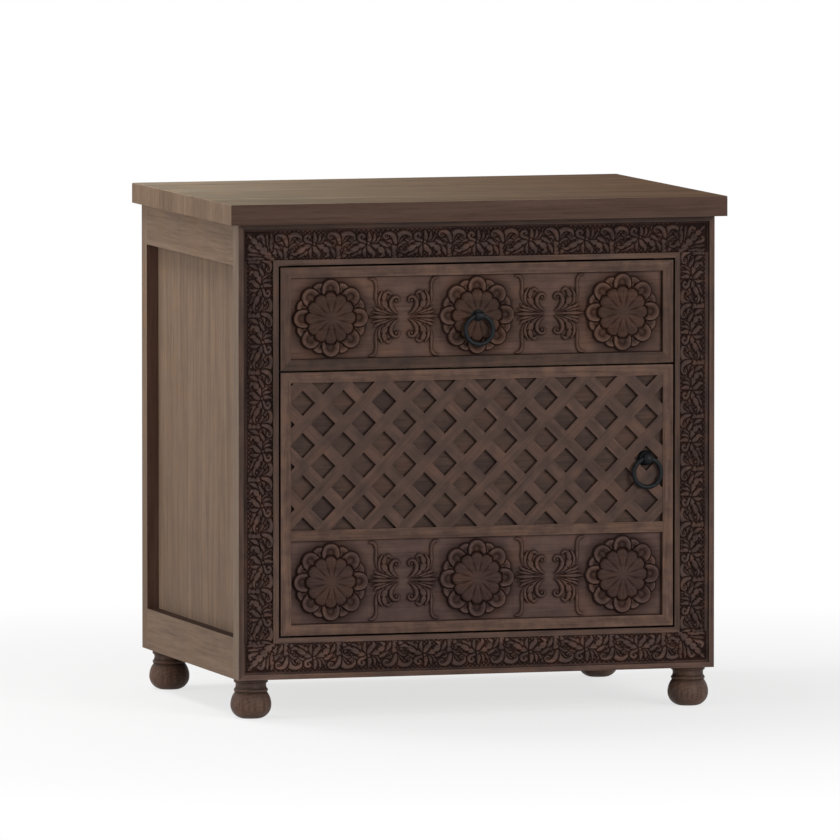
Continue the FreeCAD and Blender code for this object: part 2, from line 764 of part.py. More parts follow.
# Door: a mitred frame with a middle rail, a lattice on a backing board, and a carved panel below.
# The pull sits in the middle of one of the lattice's diamonds.
door_strips = ["door_rail_bottom", "door_stile_right", "door_rail_top", "door_stile_left"]
pivoted = {"door_rail_bottom": ["foot"], "door_rail_top": ["head"], "door_stile_left": ["foot", "head"]}
for name, member in zip(door_strips, mitred_frame([f"{name}_moulded" for name in door_strips], front_half,
                                                  door_low, door_top, size.strip_width, front_thick,
                                                  rabbet=strip_rabbet)):
    if name in pivoted:
        member = subtract(f"{name}_bored", member, [bush_holes[end] for end in pivoted[name]])
    keep(member, name)
web_half = panel_half + panel_seat
web_low = middle_rail_low + size.strip_rabbet
web_high = middle_rail_high - size.strip_rabbet
keep(join("door_middle_rail", [
    board("door_middle_face", (-panel_half, front, middle_rail_low), (panel_half, ground, middle_rail_high)),
    board("door_middle_web", (-web_half, ground, web_low), (web_half, front_back, web_high)),
]), "door_rail_middle")
keep(carved_panel("door_panel", door_low + size.strip_width, middle_rail_low), "door_panel")
backing = board("lattice_backing_board", (-web_half, ground, middle_rail_high - panel_seat),
                (web_half, front_back, lattice_high + panel_seat))
door_stem_hole = stem_hole("door_stem_hole", door_pull)
keep(subtract("lattice_backing_drilled", backing, [door_stem_hole]), "lattice_backing")

lattice_low_corner = (-panel_half, relief_top, middle_rail_high)
lattice_high_corner = (panel_half, ground, lattice_high)
crossing = (door_pull[0] + size.lattice_pitch / 2, door_pull[1])
lap_level = (relief_top + ground) / 2
RISING, FALLING = 1, -1


def slat_steps(slope):
    """The numbers of the slats of one slope that cross the lattice's opening."""
    pitch = value(size.lattice_pitch)
    edges = [value(corner[2]) - value(crossing[1]) - slope * (value(x) - value(crossing[0]))
             for corner in (lattice_low_corner, lattice_high_corner)
             for x in (lattice_low_corner[0], lattice_high_corner[0])]
    spread = value(size.slat_width) * DIAGONAL
    return range(math.ceil((min(edges) - spread) / pitch), math.floor((max(edges) + spread) / pitch) + 1)


def slats(name, slope, near, far):
    """All slats of one slope between two depths, longer than the opening."""
    length = (panel_half * 2 + lattice_high - middle_rail_high) * 3
    rotation = FreeCAD.Rotation(FreeCAD.Vector(0, 1, 0), -45 * slope)
    shapes = []
    for step in slat_steps(slope):
        centre_z = crossing[1] + size.lattice_pitch * step
        start_x = crossing[0] - (length - size.slat_width * slope) * (DIAGONAL / 2)
        start_z = centre_z - (length * slope + size.slat_width) * (DIAGONAL / 2)
        slat = doc.addObject("Part::Box", f"{name}_{len(shapes)}")
        for edge, extent in zip(("Length", "Width", "Height"), (length, far - near, size.slat_width)):
            bind(slat, edge, extent)
        place(slat, start_x, near, start_z, rotation)
        shapes.append(slat)
    return group(name, shapes)


def lattice_layer(name, slope, lap_near, lap_far):
    """The slats of one slope, trimmed to the opening and halved where the others cross."""
    trimmed = doc.addObject("Part::Common", f"{name}_trimmed")
    trimmed.Base = slats(f"{name}_slats", slope, relief_top, ground)
    trimmed.Tool = board(f"{name}_opening", lattice_low_corner, lattice_high_corner)
    laps = slats(f"{name}_laps", -slope, lap_near, lap_far)
    return keep(subtract(f"{name}_lapped", trimmed, [laps]), name)


lattice_layer("lattice_slats_rising", RISING, lap_level, ground)
lattice_layer("lattice_slats_falling", FALLING, relief_top, lap_level)
pull_boss("door_pull_boss", door_pull, ground, relief_top)
pull_ring("door_pull_ring", door_pull, relief_top)

# Magnetic catch on the floor of the case and its strike on the back of the door
catch_end = front_half - size.catch_inset
catch_start = catch_end - size.catch_width
keep(board("catch_box", (catch_start, frame_back, opening_low),
           (catch_end, frame_back + size.catch_depth, opening_low + size.catch_height)), "catch_magnet")
strike_low = door_low + size.strike_lift
keep(board("strike_plate", (catch_start, front_back, strike_low),
           (catch_end, front_back + size.strike_thick, strike_low + size.strike_height)), "catch_strike")

doc.recompute()
failed = [item.Name for item in doc.Objects if {"Invalid", "Error"} & set(item.State)]
for item in pieces:
    if item.Shape.isNull() or not item.Shape.isValid():
        failed.append(item.Label)
if failed:
    raise RuntimeError(f"these objects failed: {failed}")
os.makedirs("parts", exist_ok=True)
for item in pieces:
    item.Shape.exportStep(f"parts/{item.Label}.step")
print(f"{len(pieces)} sub-parts written")
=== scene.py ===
import json
import math

import bpy
import numpy as np
from mathutils import Matrix, Vector


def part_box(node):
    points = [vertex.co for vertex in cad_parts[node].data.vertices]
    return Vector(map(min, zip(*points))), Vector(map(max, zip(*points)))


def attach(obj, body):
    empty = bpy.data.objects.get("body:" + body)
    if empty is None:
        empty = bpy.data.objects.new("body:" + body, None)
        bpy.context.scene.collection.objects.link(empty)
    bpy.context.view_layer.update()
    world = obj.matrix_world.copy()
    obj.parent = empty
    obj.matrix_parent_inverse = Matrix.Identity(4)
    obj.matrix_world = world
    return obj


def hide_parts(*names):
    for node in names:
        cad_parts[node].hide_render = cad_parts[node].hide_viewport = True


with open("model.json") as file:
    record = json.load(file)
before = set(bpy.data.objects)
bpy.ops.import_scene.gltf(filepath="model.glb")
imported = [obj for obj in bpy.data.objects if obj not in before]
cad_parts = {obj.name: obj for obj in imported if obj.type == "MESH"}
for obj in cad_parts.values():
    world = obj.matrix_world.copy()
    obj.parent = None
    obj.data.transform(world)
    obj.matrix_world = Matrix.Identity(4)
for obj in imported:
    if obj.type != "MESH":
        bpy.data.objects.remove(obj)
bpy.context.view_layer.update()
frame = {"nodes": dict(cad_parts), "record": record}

# The carved nightstand in metres, in the frame of the solids: X across, +Y to the back, +Z up.
# Carved motifs are drawn in millimetres.
MM = 0.001

# Sizes of the solids that a box around a node doesn't give
LIP_WIDTH = 6.5 * MM
FIELD_DEPTH = 4.0 * MM
GROUND_DEPTH = 6.0 * MM
ROSETTE_PITCH = 187.0
ROSETTE_RADIUS = 47.5
HEART_RADIUS = 31.5
HEART_RISE = 7.5

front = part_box("frame_rail_top")[0].y


# Small tools for numbers
def smooth_step(low, high, number):
    """0 at low and 1 at high, with a soft change between. low may be the larger of the two."""
    share = np.clip((number - low) / (high - low), 0.0, 1.0)
    return share * share * (3.0 - 2.0 * share)


def spline(points, per_span=7):
    """Points along a smooth curve through the given points."""
    knots = np.array(points, float)
    ends = np.vstack([2 * knots[0] - knots[1], knots, 2 * knots[-1] - knots[-2]])
    steps = np.arange(per_span)[:, None] / per_span
    runs = []
    for before, start, end, after in zip(ends, ends[1:], ends[2:], ends[3:]):
        runs.append(0.5 * (2 * start + (end - before) * steps
                           + (2 * before - 5 * start + 4 * end - after) * steps ** 2
                           + (3 * start - before - 3 * end + after) * steps ** 3))
    return np.vstack(runs + [knots[-1:]])


def nearest_on_path(u, v, path):
    """How far each spot is from a path, and the share of the path's length at its nearest point."""
    lengths = np.hypot(*np.diff(path, axis=0).T)
    starts = np.concatenate([[0.0], np.cumsum(lengths)])
    best = np.full(u.shape, np.inf)
    share = np.zeros(u.shape)
    for index, length in enumerate(lengths):
        du, dv = (path[index + 1] - path[index]) / length
        run = np.clip((u - path[index, 0]) * du + (v - path[index, 1]) * dv, 0.0, length)
        distance = np.hypot(u - path[index, 0] - run * du, v - path[index, 1] - run * dv)
        nearer = distance < best
        best = np.where(nearer, distance, best)
        share = np.where(nearer, (starts[index] + run) / starts[-1], share)
    return best, share


TRENCH_WIDTH = 1.3


def trenched(height, outside, width, floor):
    """Heights lowered in a trench around a form, to the share floor at its foot.

    outside is how far each spot is from the form."""
    return height * (floor + (1.0 - floor) * smooth_step(0.0, width, outside))


class Relief:
    """Carved heights above a ground, over a grid of spots. Each new form lies over the earlier ones."""

    TRENCH_FLOOR = 0.25
    # Creases between the lobes of a leaf: their depth, their bite out of its edge, how much they slant,
    # where in a lobe they rise, and over which share of the leaf's half width they deepen
    CREASE = 0.6
    SCALLOP = 0.17
    SLANT = 0.4
    CREASE_RISE = (0.5, 1.0)
    CREASE_REACH = (0.05, 0.6)
    # A vein's width is a share of the leaf's half width and a little more
    VEIN_SHARE = 0.18
    VEIN_LEAST = 0.25

    def __init__(self, u, v, period=None, fullness=1.0, roundness=0.9):
        self.u = u
        self.v = v
        self.period = period
        self.fullness = fullness
        self.roundness = roundness
        self.height = np.zeros_like(u)

    def wrapped(self, middle):
        """The spots' u, moved by whole periods to lie around a middle."""
        if not self.period:
            return self.u
        return (self.u - middle + self.period / 2) % self.period - self.period / 2 + middle

    def stroke(self, points, widths, top, vein=0.0, lobes=0):
        """A tapering stem or leaf along a curve, perhaps with a vein and creases between lobes."""
        path = spline(points)
        widths = [self.fullness * width for width in widths]
        margin = max(widths) + TRENCH_WIDTH
        u = self.wrapped((path[:, 0].min() + path[:, 0].max()) / 2)
        low, high = path.min(axis=0) - margin, path.max(axis=0) + margin
        near = (u > low[0]) & (u < high[0]) & (self.v > low[1]) & (self.v < high[1])
        if not near.any():
            return
        distance, share = nearest_on_path(u[near], self.v[near], path)
        half = np.interp(share, np.linspace(0.0, 1.0, len(widths)), widths)
        crease = np.zeros_like(half)
        if lobes:
            beat = 2 * np.abs((lobes * share - self.SLANT * distance / half) % 1.0 - 0.5)
            crease = smooth_step(*self.CREASE_RISE, beat)
            half = half * (1.0 - self.SCALLOP * crease)
        body = top * np.clip(1.0 - (distance / half) ** 2, 0.0, 1.0) ** (self.roundness / 2)
        body *= 1.0 - self.CREASE * crease * smooth_step(*self.CREASE_REACH, distance / half)
        vein_width = self.VEIN_SHARE * half + self.VEIN_LEAST
        body -= (body > 0) * vein * np.exp(-(distance / vein_width) ** 2)
        under = trenched(self.height[near], distance - half, TRENCH_WIDTH, self.TRENCH_FLOOR)
        self.height[near] = np.maximum(under, body)

    def bead(self, centre, radius, top):
        """A round knob."""
        distance = np.hypot(self.wrapped(centre[0]) - centre[0], self.v - centre[1])
        body = top * np.sqrt(np.clip(1.0 - (distance / radius) ** 2, 0.0, 1.0))
        under = trenched(self.height, distance - radius, TRENCH_WIDTH, self.TRENCH_FLOOR)
        self.height = np.maximum(under, body)


def grid(u_range, v_range, step):
    """Evenly spaced spots over a rectangle, close to a step apart."""
    axes = [np.linspace(low, high, max(2, round((high - low) / step) + 1))
            for low, high in (u_range, v_range)]
    return np.meshgrid(*axes, indexing="ij")


def blurred(height, reach):
    """Heights averaged over a square of 2 * reach + 1 spots, twice."""
    for axis in (0, 1, 0, 1):
        padded = np.concatenate([np.repeat(height.take([0], axis), reach + 1, axis), height,
                                 np.repeat(height.take([-1], axis), reach, axis)], axis)
        sums = np.cumsum(padded, axis)
        count = height.shape[axis]
        width = 2 * reach + 1
        height = (sums.take(range(width, width + count), axis) - sums.take(range(count), axis)) / width
    return height


# Motifs
# Petals rise from a cup to a rim between two distances from their edge, and a fold runs along each
PETALS = 8
RIM_RISE = (8.0, 1.6)
PETAL_EDGE = 0.9
PETAL_TRENCH_FLOOR = 0.2
FOLD_HEIGHT = 0.9
FOLD_WIDTH = 1.2
FOLD_RISE = (4.0, -3.0)
# The heart is a dome with flutes that are notched at its edge, deepen away from its middle and have ribs
FLUTES = 12
FLUTE_NOTCH = 5.0
FLUTE_DEPTH = 0.5
FLUTE_START = (2.0, 18.0)
RIBS_PER_FLUTE = 3
RIB_DEPTH = 0.65
HEART_FOOT = 2.4
HEART_SHOULDER = 5.0
DOME_DROP = 2.2
HEART_TRENCH = 4.5
HEART_TRENCH_FLOOR = 0.1
# Painted shade goes from 0, bare wood, to 1, the darkest: in the petals' cups, less on their rims, and in a
# line round each petal
CUP_SHADE = 0.31
RIM_SHADE = 0.11
OUTLINE_SHADE = 0.52
OUTLINE_WIDTH = 1.9
# Painted shade darkens the ground towards a rosette
HALO_SHADE = 0.4
HALO_REACH = 15.0
FAR_OUTSIDE = -99.0


def petal_tier(x, z, ground, reach, petal_radius, rim_top, dish_top, turned):
    """Cupped petals with raised rims, laid over a ground's height and painted shade, with painted shade
    in their cups and round them. turned is in petals.
    """
    ring = reach - petal_radius
    height, shade_and_stain = ground
    for number in range(PETALS):
        angle = 2 * math.pi * (number + turned) / PETALS
        out = x * math.cos(angle) + z * math.sin(angle) - ring
        aside = np.abs(z * math.cos(angle) - x * math.sin(angle))
        inside = petal_radius - np.where(out > 0, np.hypot(out, aside), aside)
        inside = np.where(out < -ring / 2, FAR_OUTSIDE, inside)
        rim = smooth_step(*RIM_RISE, inside)
        fold = FOLD_HEIGHT * np.exp(-(aside / FOLD_WIDTH) ** 2) * smooth_step(*FOLD_RISE, out)
        body = smooth_step(0.0, PETAL_EDGE, inside) * (dish_top + fold + (rim_top - dish_top) * rim)
        under = trenched(height, -inside, TRENCH_WIDTH, PETAL_TRENCH_FLOOR)
        height = np.where(inside > 0, body, under)
        outline = np.maximum(shade_and_stain, OUTLINE_SHADE * smooth_step(OUTLINE_WIDTH, 0.0, -inside))
        shade_and_stain = np.where(inside > 0, CUP_SHADE + (RIM_SHADE - CUP_SHADE) * rim, outline)
    return height, shade_and_stain


def rosette(x, z, heart_stain):
    """Height, and painted shade and stain, of cupped petals in two tiers around a domed heart of
    rounded flutes. The heart takes heart_stain as a stain.
    """
    radius = np.hypot(x, z)
    turn = np.arctan2(z, x)
    bare = np.zeros_like(x), HALO_SHADE * smooth_step(ROSETTE_RADIUS + HALO_REACH, ROSETTE_RADIUS, radius)
    lower = petal_tier(x, z, bare, reach=ROSETTE_RADIUS - 1.6, petal_radius=9.6, rim_top=4.2, dish_top=1.2,
                       turned=0.5)
    height, shade_and_stain = petal_tier(x, z, lower, reach=ROSETTE_RADIUS, petal_radius=11.4, rim_top=5.2,
                               dish_top=1.0, turned=0.0)
    across = (turn / (math.pi / FLUTES) + 1.0) % 2.0 - 1.0
    crown = np.sqrt(np.clip(1.0 - across ** 2, 0.0, 1.0))
    inside = HEART_RADIUS - FLUTE_NOTCH * (1.0 - crown) - radius
    dome = HEART_RISE - DOME_DROP * (radius / HEART_RADIUS) ** 2
    past_shoulder = np.clip(inside / HEART_SHOULDER, 0.0, 1.0)
    shoulder = np.sqrt(np.clip(1.0 - (1.0 - past_shoulder) ** 2, 0.0, 1.0))
    spread = smooth_step(*FLUTE_START, radius)
    fluted = 1.0 - FLUTE_DEPTH * spread * (1.0 - crown)
    body = HEART_FOOT + (dome - HEART_FOOT) * shoulder * fluted
    ribs = 0.5 + 0.5 * np.cos(RIBS_PER_FLUTE * FLUTES * turn)
    body -= RIB_DEPTH * spread * ribs * crown
    height = np.where(inside > 0, body, trenched(height, -inside, HEART_TRENCH, HEART_TRENCH_FLOOR))
    return height, np.where(inside > 0, heart_stain, shade_and_stain)


def scroll_heights(x, z):
    """An X of scrolls, alike in all four quarters: leafy scrolls, a hooked tendril and half a palmette."""
    relief = Relief(np.abs(x), np.abs(z))
    relief.stroke([(30, 12), (33.8, 19), (35.4, 27), (35.2, 35), (35.8, 42), (39, 46.8), (43.5, 47.4)],
                  [1.6, 2.6, 2.3, 1.6, 1.5, 2.1, 1.2], 3.2, vein=0.4)
    relief.stroke([(23, 8.5), (30.2, 15), (31.4, 23.5), (27.6, 31)], [1.3, 2.3, 2.2, 1.0], 3.6, vein=0.5)
    relief.stroke([(12, 4.4), (19.4, 8.8), (25.2, 17), (24.8, 25.5), (20.4, 30.6), (16.2, 28)],
                  [0.9, 2.6, 4.1, 3.8, 2.5, 1.2], 4.2, vein=1.0, lobes=4)
    relief.stroke([(6.5, 3), (11.6, 6.6), (16, 12.4), (16.4, 19), (12.4, 23.8), (8, 23.6), (6.2, 20.4),
                   (8.6, 18.2)], [0.5, 1.4, 2.5, 2.7, 2.4, 2.0, 1.7, 1.3], 4.2, vein=0.6)
    relief.bead((10, 20.2), 2.0, 4.0)
    relief.stroke([(15, 3.4), (24, 5.8), (32, 8.4), (38, 11.8)], [0.5, 1.5, 2.4, 0.8], 3.0,
                  vein=0.8, lobes=2)
    relief.stroke([(22, 2.8), (31, 4.4), (40.5, 6.2)], [0.5, 1.7, 0.7], 3.0, vein=0.6)
    relief.stroke([(8, 0), (22, 0), (34, 0), (43.5, 0)], [0.4, 1.2, 2.4, 0.7], 3.4, vein=0.8)
    return relief.height


# A carver's hand drifts along the vine, and at its own rate across it, and comes back after some repeats
DRIFT_REPEATS = 3.3
DRIFT_ALONG = 1.6
DRIFT_ACROSS = 0.7
ACROSS_RATE = 1.7
ACROSS_START = 0.8
PELLET = 6.0
PELLET_TOP = 1.7
VINE_FULLNESS = 1.55
VINE_ROUNDNESS = 1.7


def vine_heights(u, v, pitch):
    """A running vine: curls and buds along its far edge (v about 34), leaves along its near edge."""
    drift = 2 * math.pi * u / (DRIFT_REPEATS * pitch)
    along = u + DRIFT_ALONG * np.sin(drift)
    across = v + DRIFT_ACROSS * np.sin(ACROSS_RATE * drift + ACROSS_START)
    relief = Relief(along, across, pitch, VINE_FULLNESS, VINE_ROUNDNESS)
    # A ground of small pellets
    relief.height = PELLET_TOP * np.abs(np.sin(math.pi * (along + across) / PELLET)
                                        * np.sin(math.pi * (along - across) / PELLET))
    # Small leaves that fill it
    relief.stroke([(33, 12), (28.5, 18), (23.5, 18.6)], [1.6, 2.4, 0.8], 2.0, vein=0.4)
    relief.stroke([(33.5, 17), (29, 23.4), (23, 24.6)], [1.6, 2.3, 0.8], 2.2, vein=0.4)
    relief.stroke([(34, 9), (38.5, 16.5), (44.5, 18.2)], [1.6, 2.4, 0.8], 2.0, vein=0.4)
    relief.stroke([(35, 15), (41, 21), (47.5, 21.4)], [1.6, 2.3, 0.8], 2.2, vein=0.4)
    relief.stroke([(31, 4), (27, 7.5), (26.5, 11)], [1.6, 1.9, 0.8], 2.0)
    relief.stroke([(12, 25), (16, 29), (15.5, 35)], [1.2, 1.8, 0.9], 2.0)
    relief.stroke([(-12, 25), (-14.6, 30), (-13.5, 35)], [1.2, 1.6, 0.9], 2.0)
    # A forked stem with a curl on each arm and a hook at its foot
    relief.stroke([(34, 3.2), (38.5, 3.4), (42, 7.8), (40.6, 13.5)], [2.2, 2.3, 2.1, 1.1], 2.6)
    relief.stroke([(32.4, 2.6), (31.4, 9), (32.8, 17), (34.5, 24)], [3.0, 2.6, 2.6, 2.1], 2.9,
                  vein=0.8, lobes=3)
    relief.stroke([(36, 21), (41, 28), (45.6, 29.6)], [1.4, 2.7, 0.8], 2.6, vein=0.5)
    relief.stroke([(34.5, 20), (36, 28), (40, 33.4), (46.3, 34.6), (51.6, 31.4), (52.4, 26), (49.5, 23.8),
                   (47, 26)], [1.5, 2.6, 3.1, 2.8, 2.4, 2.1, 1.7, 1.3], 3.3, vein=0.5)
    relief.bead((49.6, 27.2), 1.7, 3.0)
    relief.stroke([(34, 21), (32, 29.5), (27.5, 34), (22, 33.8), (19.8, 30.4), (22, 28), (24.4, 29.6)],
                  [1.5, 2.4, 2.6, 2.3, 2.0, 1.7, 1.2], 3.3, vein=0.5)
    relief.bead((22.6, 31.0), 1.5, 3.0)
    # Leaves that sweep to the left of the bud, the hindmost first
    relief.stroke([(-5, 21.5), (-13, 23.2), (-20, 20.4)], [1.0, 2.1, 0.6], 2.4, vein=0.5)
    relief.stroke([(-4, 14), (-11, 9), (-20, 3.6)], [1.4, 3.0, 0.9], 2.7, vein=0.7, lobes=2)
    relief.stroke([(2, 21.5), (-8, 18.4), (-17, 12.4), (-24.5, 8), (-30, 9.6)],
                  [1.3, 2.8, 3.1, 2.4, 0.8], 3.5, vein=1.0, lobes=3)
    # Leaves that droop to its right
    relief.stroke([(12, 18), (20, 13.8), (26, 8.4), (27.4, 2.6)], [1.0, 2.4, 2.5, 0.8], 2.9, vein=0.7)
    relief.stroke([(2, 21.5), (10, 22.4), (17.5, 20.8), (25, 16.2)], [1.1, 2.5, 2.5, 0.7], 3.0, vein=0.7)
    relief.stroke([(-1, 18), (-4.4, 10), (-3.6, 2.4)], [1.1, 2.2, 0.8], 2.7, vein=0.6)
    relief.stroke([(0, 20), (2.8, 12), (7, 6.8), (6.4, 2.2)], [1.3, 2.7, 2.5, 0.9], 3.1, vein=0.8)
    relief.stroke([(3, 20), (10, 17.2), (16.4, 12), (19, 5.8), (15, 2.6)], [1.3, 3.0, 3.4, 2.5, 0.9], 3.5,
                  vein=1.0, lobes=3)
    # Bud: a leaning stalk with a curl on its left and two small leaves on its right
    relief.stroke([(3, 21.6), (10.4, 24.4), (15, 30.4)], [1.0, 2.1, 0.7], 2.6, vein=0.5)
    relief.stroke([(2, 22), (7.4, 26.4), (8.6, 34.2)], [1.0, 2.1, 0.7], 2.9, vein=0.5)
    relief.stroke([(0, 21), (-5, 23.6), (-10, 26), (-11.2, 30.4), (-7.6, 33), (-4.8, 30.6), (-6.6, 28.4)],
                  [1.2, 1.6, 2.0, 2.1, 1.9, 1.6, 1.2], 3.2)
    relief.stroke([(0.6, 21), (2.2, 28), (1.2, 35.4)], [1.4, 2.3, 1.1], 3.1, vein=0.6)
    relief.bead((0.6, 21), 2.2, 3.5)
    return relief.height


def corner_leaf(relief):
    """Leaves and curls that fill a corner of the border, from its inner end (0, 0) out to (37, 37)."""
    for order in (1, -1):
        # The same leaves on both sides of the corner's diagonal, with u and v swapped on the second
        for points, widths, top, vein, lobes in (
                ([(20, 22), (27, 30), (36, 32)], [1.4, 2.6, 0.9], 2.4, 0.6, 0),
                ([(14, 2), (23, 3.4), (30, 1.6), (36, 3)], [1.6, 3.0, 2.6, 0.9], 2.4, 0.6, 3),
                ([(12, 7), (22, 9.6), (29, 9.0), (35, 8.6)], [1.4, 2.6, 2.6, 0.8], 2.8, 0.6, 0),
                ([(12, 9), (22, 14), (29, 14.2), (33.6, 17), (31.4, 21.6), (27, 20.4), (28, 17.8)],
                 [1.4, 2.8, 2.8, 2.4, 2.1, 1.7, 1.2], 3.2, 0.5, 0)):
            relief.stroke([point[::order] for point in points], widths, top, vein, lobes)
    relief.stroke([(2, 2), (12, 12), (24, 24), (35.5, 35.5)], [3.4, 4.4, 3.8, 1.0], 3.5, vein=1.0, lobes=5)


# Meshes
# A hollow this deep below the average around it takes the full painted shade, for a narrow average,
# which also stands for dark glaze gathered in the hollows, and for a broad one
HOLLOWS = ((1.6, 1.5), (6.0, 4.4))


def add_object(name, data):
    obj = bpy.data.objects.new(name, data)
    bpy.context.scene.collection.objects.link(obj)
    return obj


def mesh_object(name, vertices, faces, body, material, smooth_count):
    """A piece that rides a body. Its first smooth_count faces are rounded, and the others are flat."""
    mesh = bpy.data.meshes.new(name)
    mesh.from_pydata(vertices, [], faces)
    mesh.update()
    mesh.polygons.foreach_set("use_smooth", np.arange(len(faces)) < smooth_count)
    mesh.materials.append(material)
    obj = add_object(name, mesh)
    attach(obj, body)
    return obj


def carved_slab(name, across, up, ground, height, base, body, material, depth_shade=0.0,
                extra_shade_and_stain=0.0):
    """A closed slab whose front is carved, with painted shade marked in its hollows.

    across and up are grids of X and Z, and height is how far each spot stands out of the ground, in
    millimetres. The last two arguments paint shade on what lies deep, and add painted shade and stain
    at chosen spots."""
    rows, columns = across.shape
    index = np.arange(rows * columns).reshape(rows, columns)
    rim = np.concatenate([index[:-1, 0], index[-1, :-1], index[:0:-1, -1], index[0, :0:-1]])
    top = np.stack([across, ground - height * MM, up], axis=-1).reshape(-1, 3)
    under = top[rim] * (1, 0, 1) + (0, base, 0)
    lower = rows * columns + np.arange(len(rim))
    quads = np.stack([index[:-1, :-1], index[1:, :-1], index[1:, 1:], index[:-1, 1:]], axis=-1)
    quads = quads.reshape(-1, 4)
    walls = np.stack([np.roll(rim, -1), rim, lower, np.roll(lower, -1)], axis=-1)
    faces = quads.tolist() + walls.tolist() + [lower[::-1].tolist()]
    obj = mesh_object(name, np.vstack([top, under]).tolist(), faces, body, material, len(quads))
    row_run, row_rise = across[1, 0] - across[0, 0], up[1, 0] - up[0, 0]
    column_run, column_rise = across[0, 1] - across[0, 0], up[0, 1] - up[0, 0]
    if row_run * column_rise < row_rise * column_run:
        obj.data.flip_normals()
    step = (across.max() - across.min() + up.max() - up.min()) / MM / (rows + columns - 2)
    deep = 1.0 - height / max(height.max(), 1.0)
    painted_shade_and_stain = depth_shade * deep + extra_shade_and_stain
    for reach, depth in HOLLOWS:
        around = blurred(height, max(1, round(reach / step)))
        painted_shade_and_stain = painted_shade_and_stain + np.clip((around - height) / depth, 0.0, 1.0)
    painted_shade_and_stain = np.clip(painted_shade_and_stain, 0.0, 1.0).reshape(-1)
    marks = obj.data.attributes.new("painted_shade_and_stain", "FLOAT", "POINT")
    marks.data.foreach_set("value", np.concatenate([painted_shade_and_stain, np.zeros(len(rim))]))
    return obj


# Materials
def new_material(name):
    material = bpy.data.materials.new(name)
    material.use_nodes = True
    return material, material.node_tree, material.node_tree.nodes["Principled BSDF"]


def add_node(tree, kind, **inputs):
    node = tree.nodes.new(kind)
    for label, number in inputs.items():
        node.inputs[label.replace("_", " ")].default_value = number
    return node


def ramp(tree, stops):
    """A colour ramp through (place, colour) stops."""
    node = tree.nodes.new("ShaderNodeValToRGB")
    elements = node.color_ramp.elements
    while len(elements) < len(stops):
        elements.new(0.5)
    for element, (place, colour) in zip(elements, stops):
        element.position = place
        element.color = (*colour, 1.0)
    return node


def mix_colours(tree, kind, factor, first, second):
    """A mix of two colour sockets. factor is a number or a socket."""
    node = tree.nodes.new("ShaderNodeMix")
    node.data_type = "RGBA"
    node.blend_type = kind
    if isinstance(factor, float):
        node.inputs["Factor"].default_value = factor
    else:
        tree.links.new(factor, node.inputs["Factor"])
    tree.links.new(first, node.inputs["A"])
    tree.links.new(second, node.inputs["B"])
    return node.outputs["Result"]


def uneven_roughness(tree, shader, texture, least, most):
    rough = add_node(tree, "ShaderNodeMapRange", To_Min=least, To_Max=most)
    tree.links.new(texture, rough.inputs["Value"])
    tree.links.new(rough.outputs["Result"], shader.inputs["Roughness"])


def fine_bumps(tree, shader, texture, strength, height):
    bump = add_node(tree, "ShaderNodeBump", Strength=strength, Distance=height)
    tree.links.new(texture, bump.inputs["Height"])
    tree.links.new(bump.outputs["Normal"], shader.inputs["Normal"])


GRAIN_STRETCH = 0.045
END_STRETCH = 0.1
FIBRE_SCALE = 330.0
PORE_SCALE = 900.0
FIBRE_STRENGTH = 0.85
PORE_STRENGTH = 0.7
WHITE = (1.0, 1.0, 1.0)
# Where along a texture's numbers each colour lies
TONE_STOPS = (0.3, 0.5, 0.7)
PATCH_STOPS = (0.36, 0.5, 0.64)
FIBRE_STOPS = ((0.28, (0.62, 0.6, 0.58)), (0.55, WHITE), (0.8, (1.18, 1.15, 1.12)))
PORE_STOPS = ((0.3, (0.55, 0.52, 0.5)), (0.42, WHITE))
# A face looks in a direction if its normal has at least this share in it
FACING = 0.7
# The darkest painted shade and stain, in the deepest hollows, as a share of the wood's colour
DARKEST_SHADE_AND_STAIN = (0.17, 0.105, 0.08)
# Turns of the texture that bring the grain to X: about which axis, and by what angle
GRAIN_TURNS = {"X": ("Z", 0.0), "Y": ("Z", -90.0), "Z": ("Y", 90.0), "rising": ("Y", 45.0),
               "falling": ("Y", -45.0)}
# Turned feet show rings around a spot low on their right, in shares of their box
RING_CENTRE = (0.58, 0.0, 0.24)
RING_SHAPE = (0.75, 1.0, 1.2)
# Painted shade from the case darkens the top of a foot, and painted shade with wax and dust darkens its
# grooves: how light it is at each share of its height
FOOT_SHADE_AND_WAX = ((0.3, 1.0), (0.58, 0.86), (0.66, 0.42), (0.69, 0.8), (0.725, 0.8), (0.755, 0.42), (0.83, 0.75),
         (0.895, 0.68), (0.91, 0.4), (0.93, 0.78), (1.0, 0.6))


def greys(levels):
    return tuple((place, (level, level, level)) for place, level in levels)


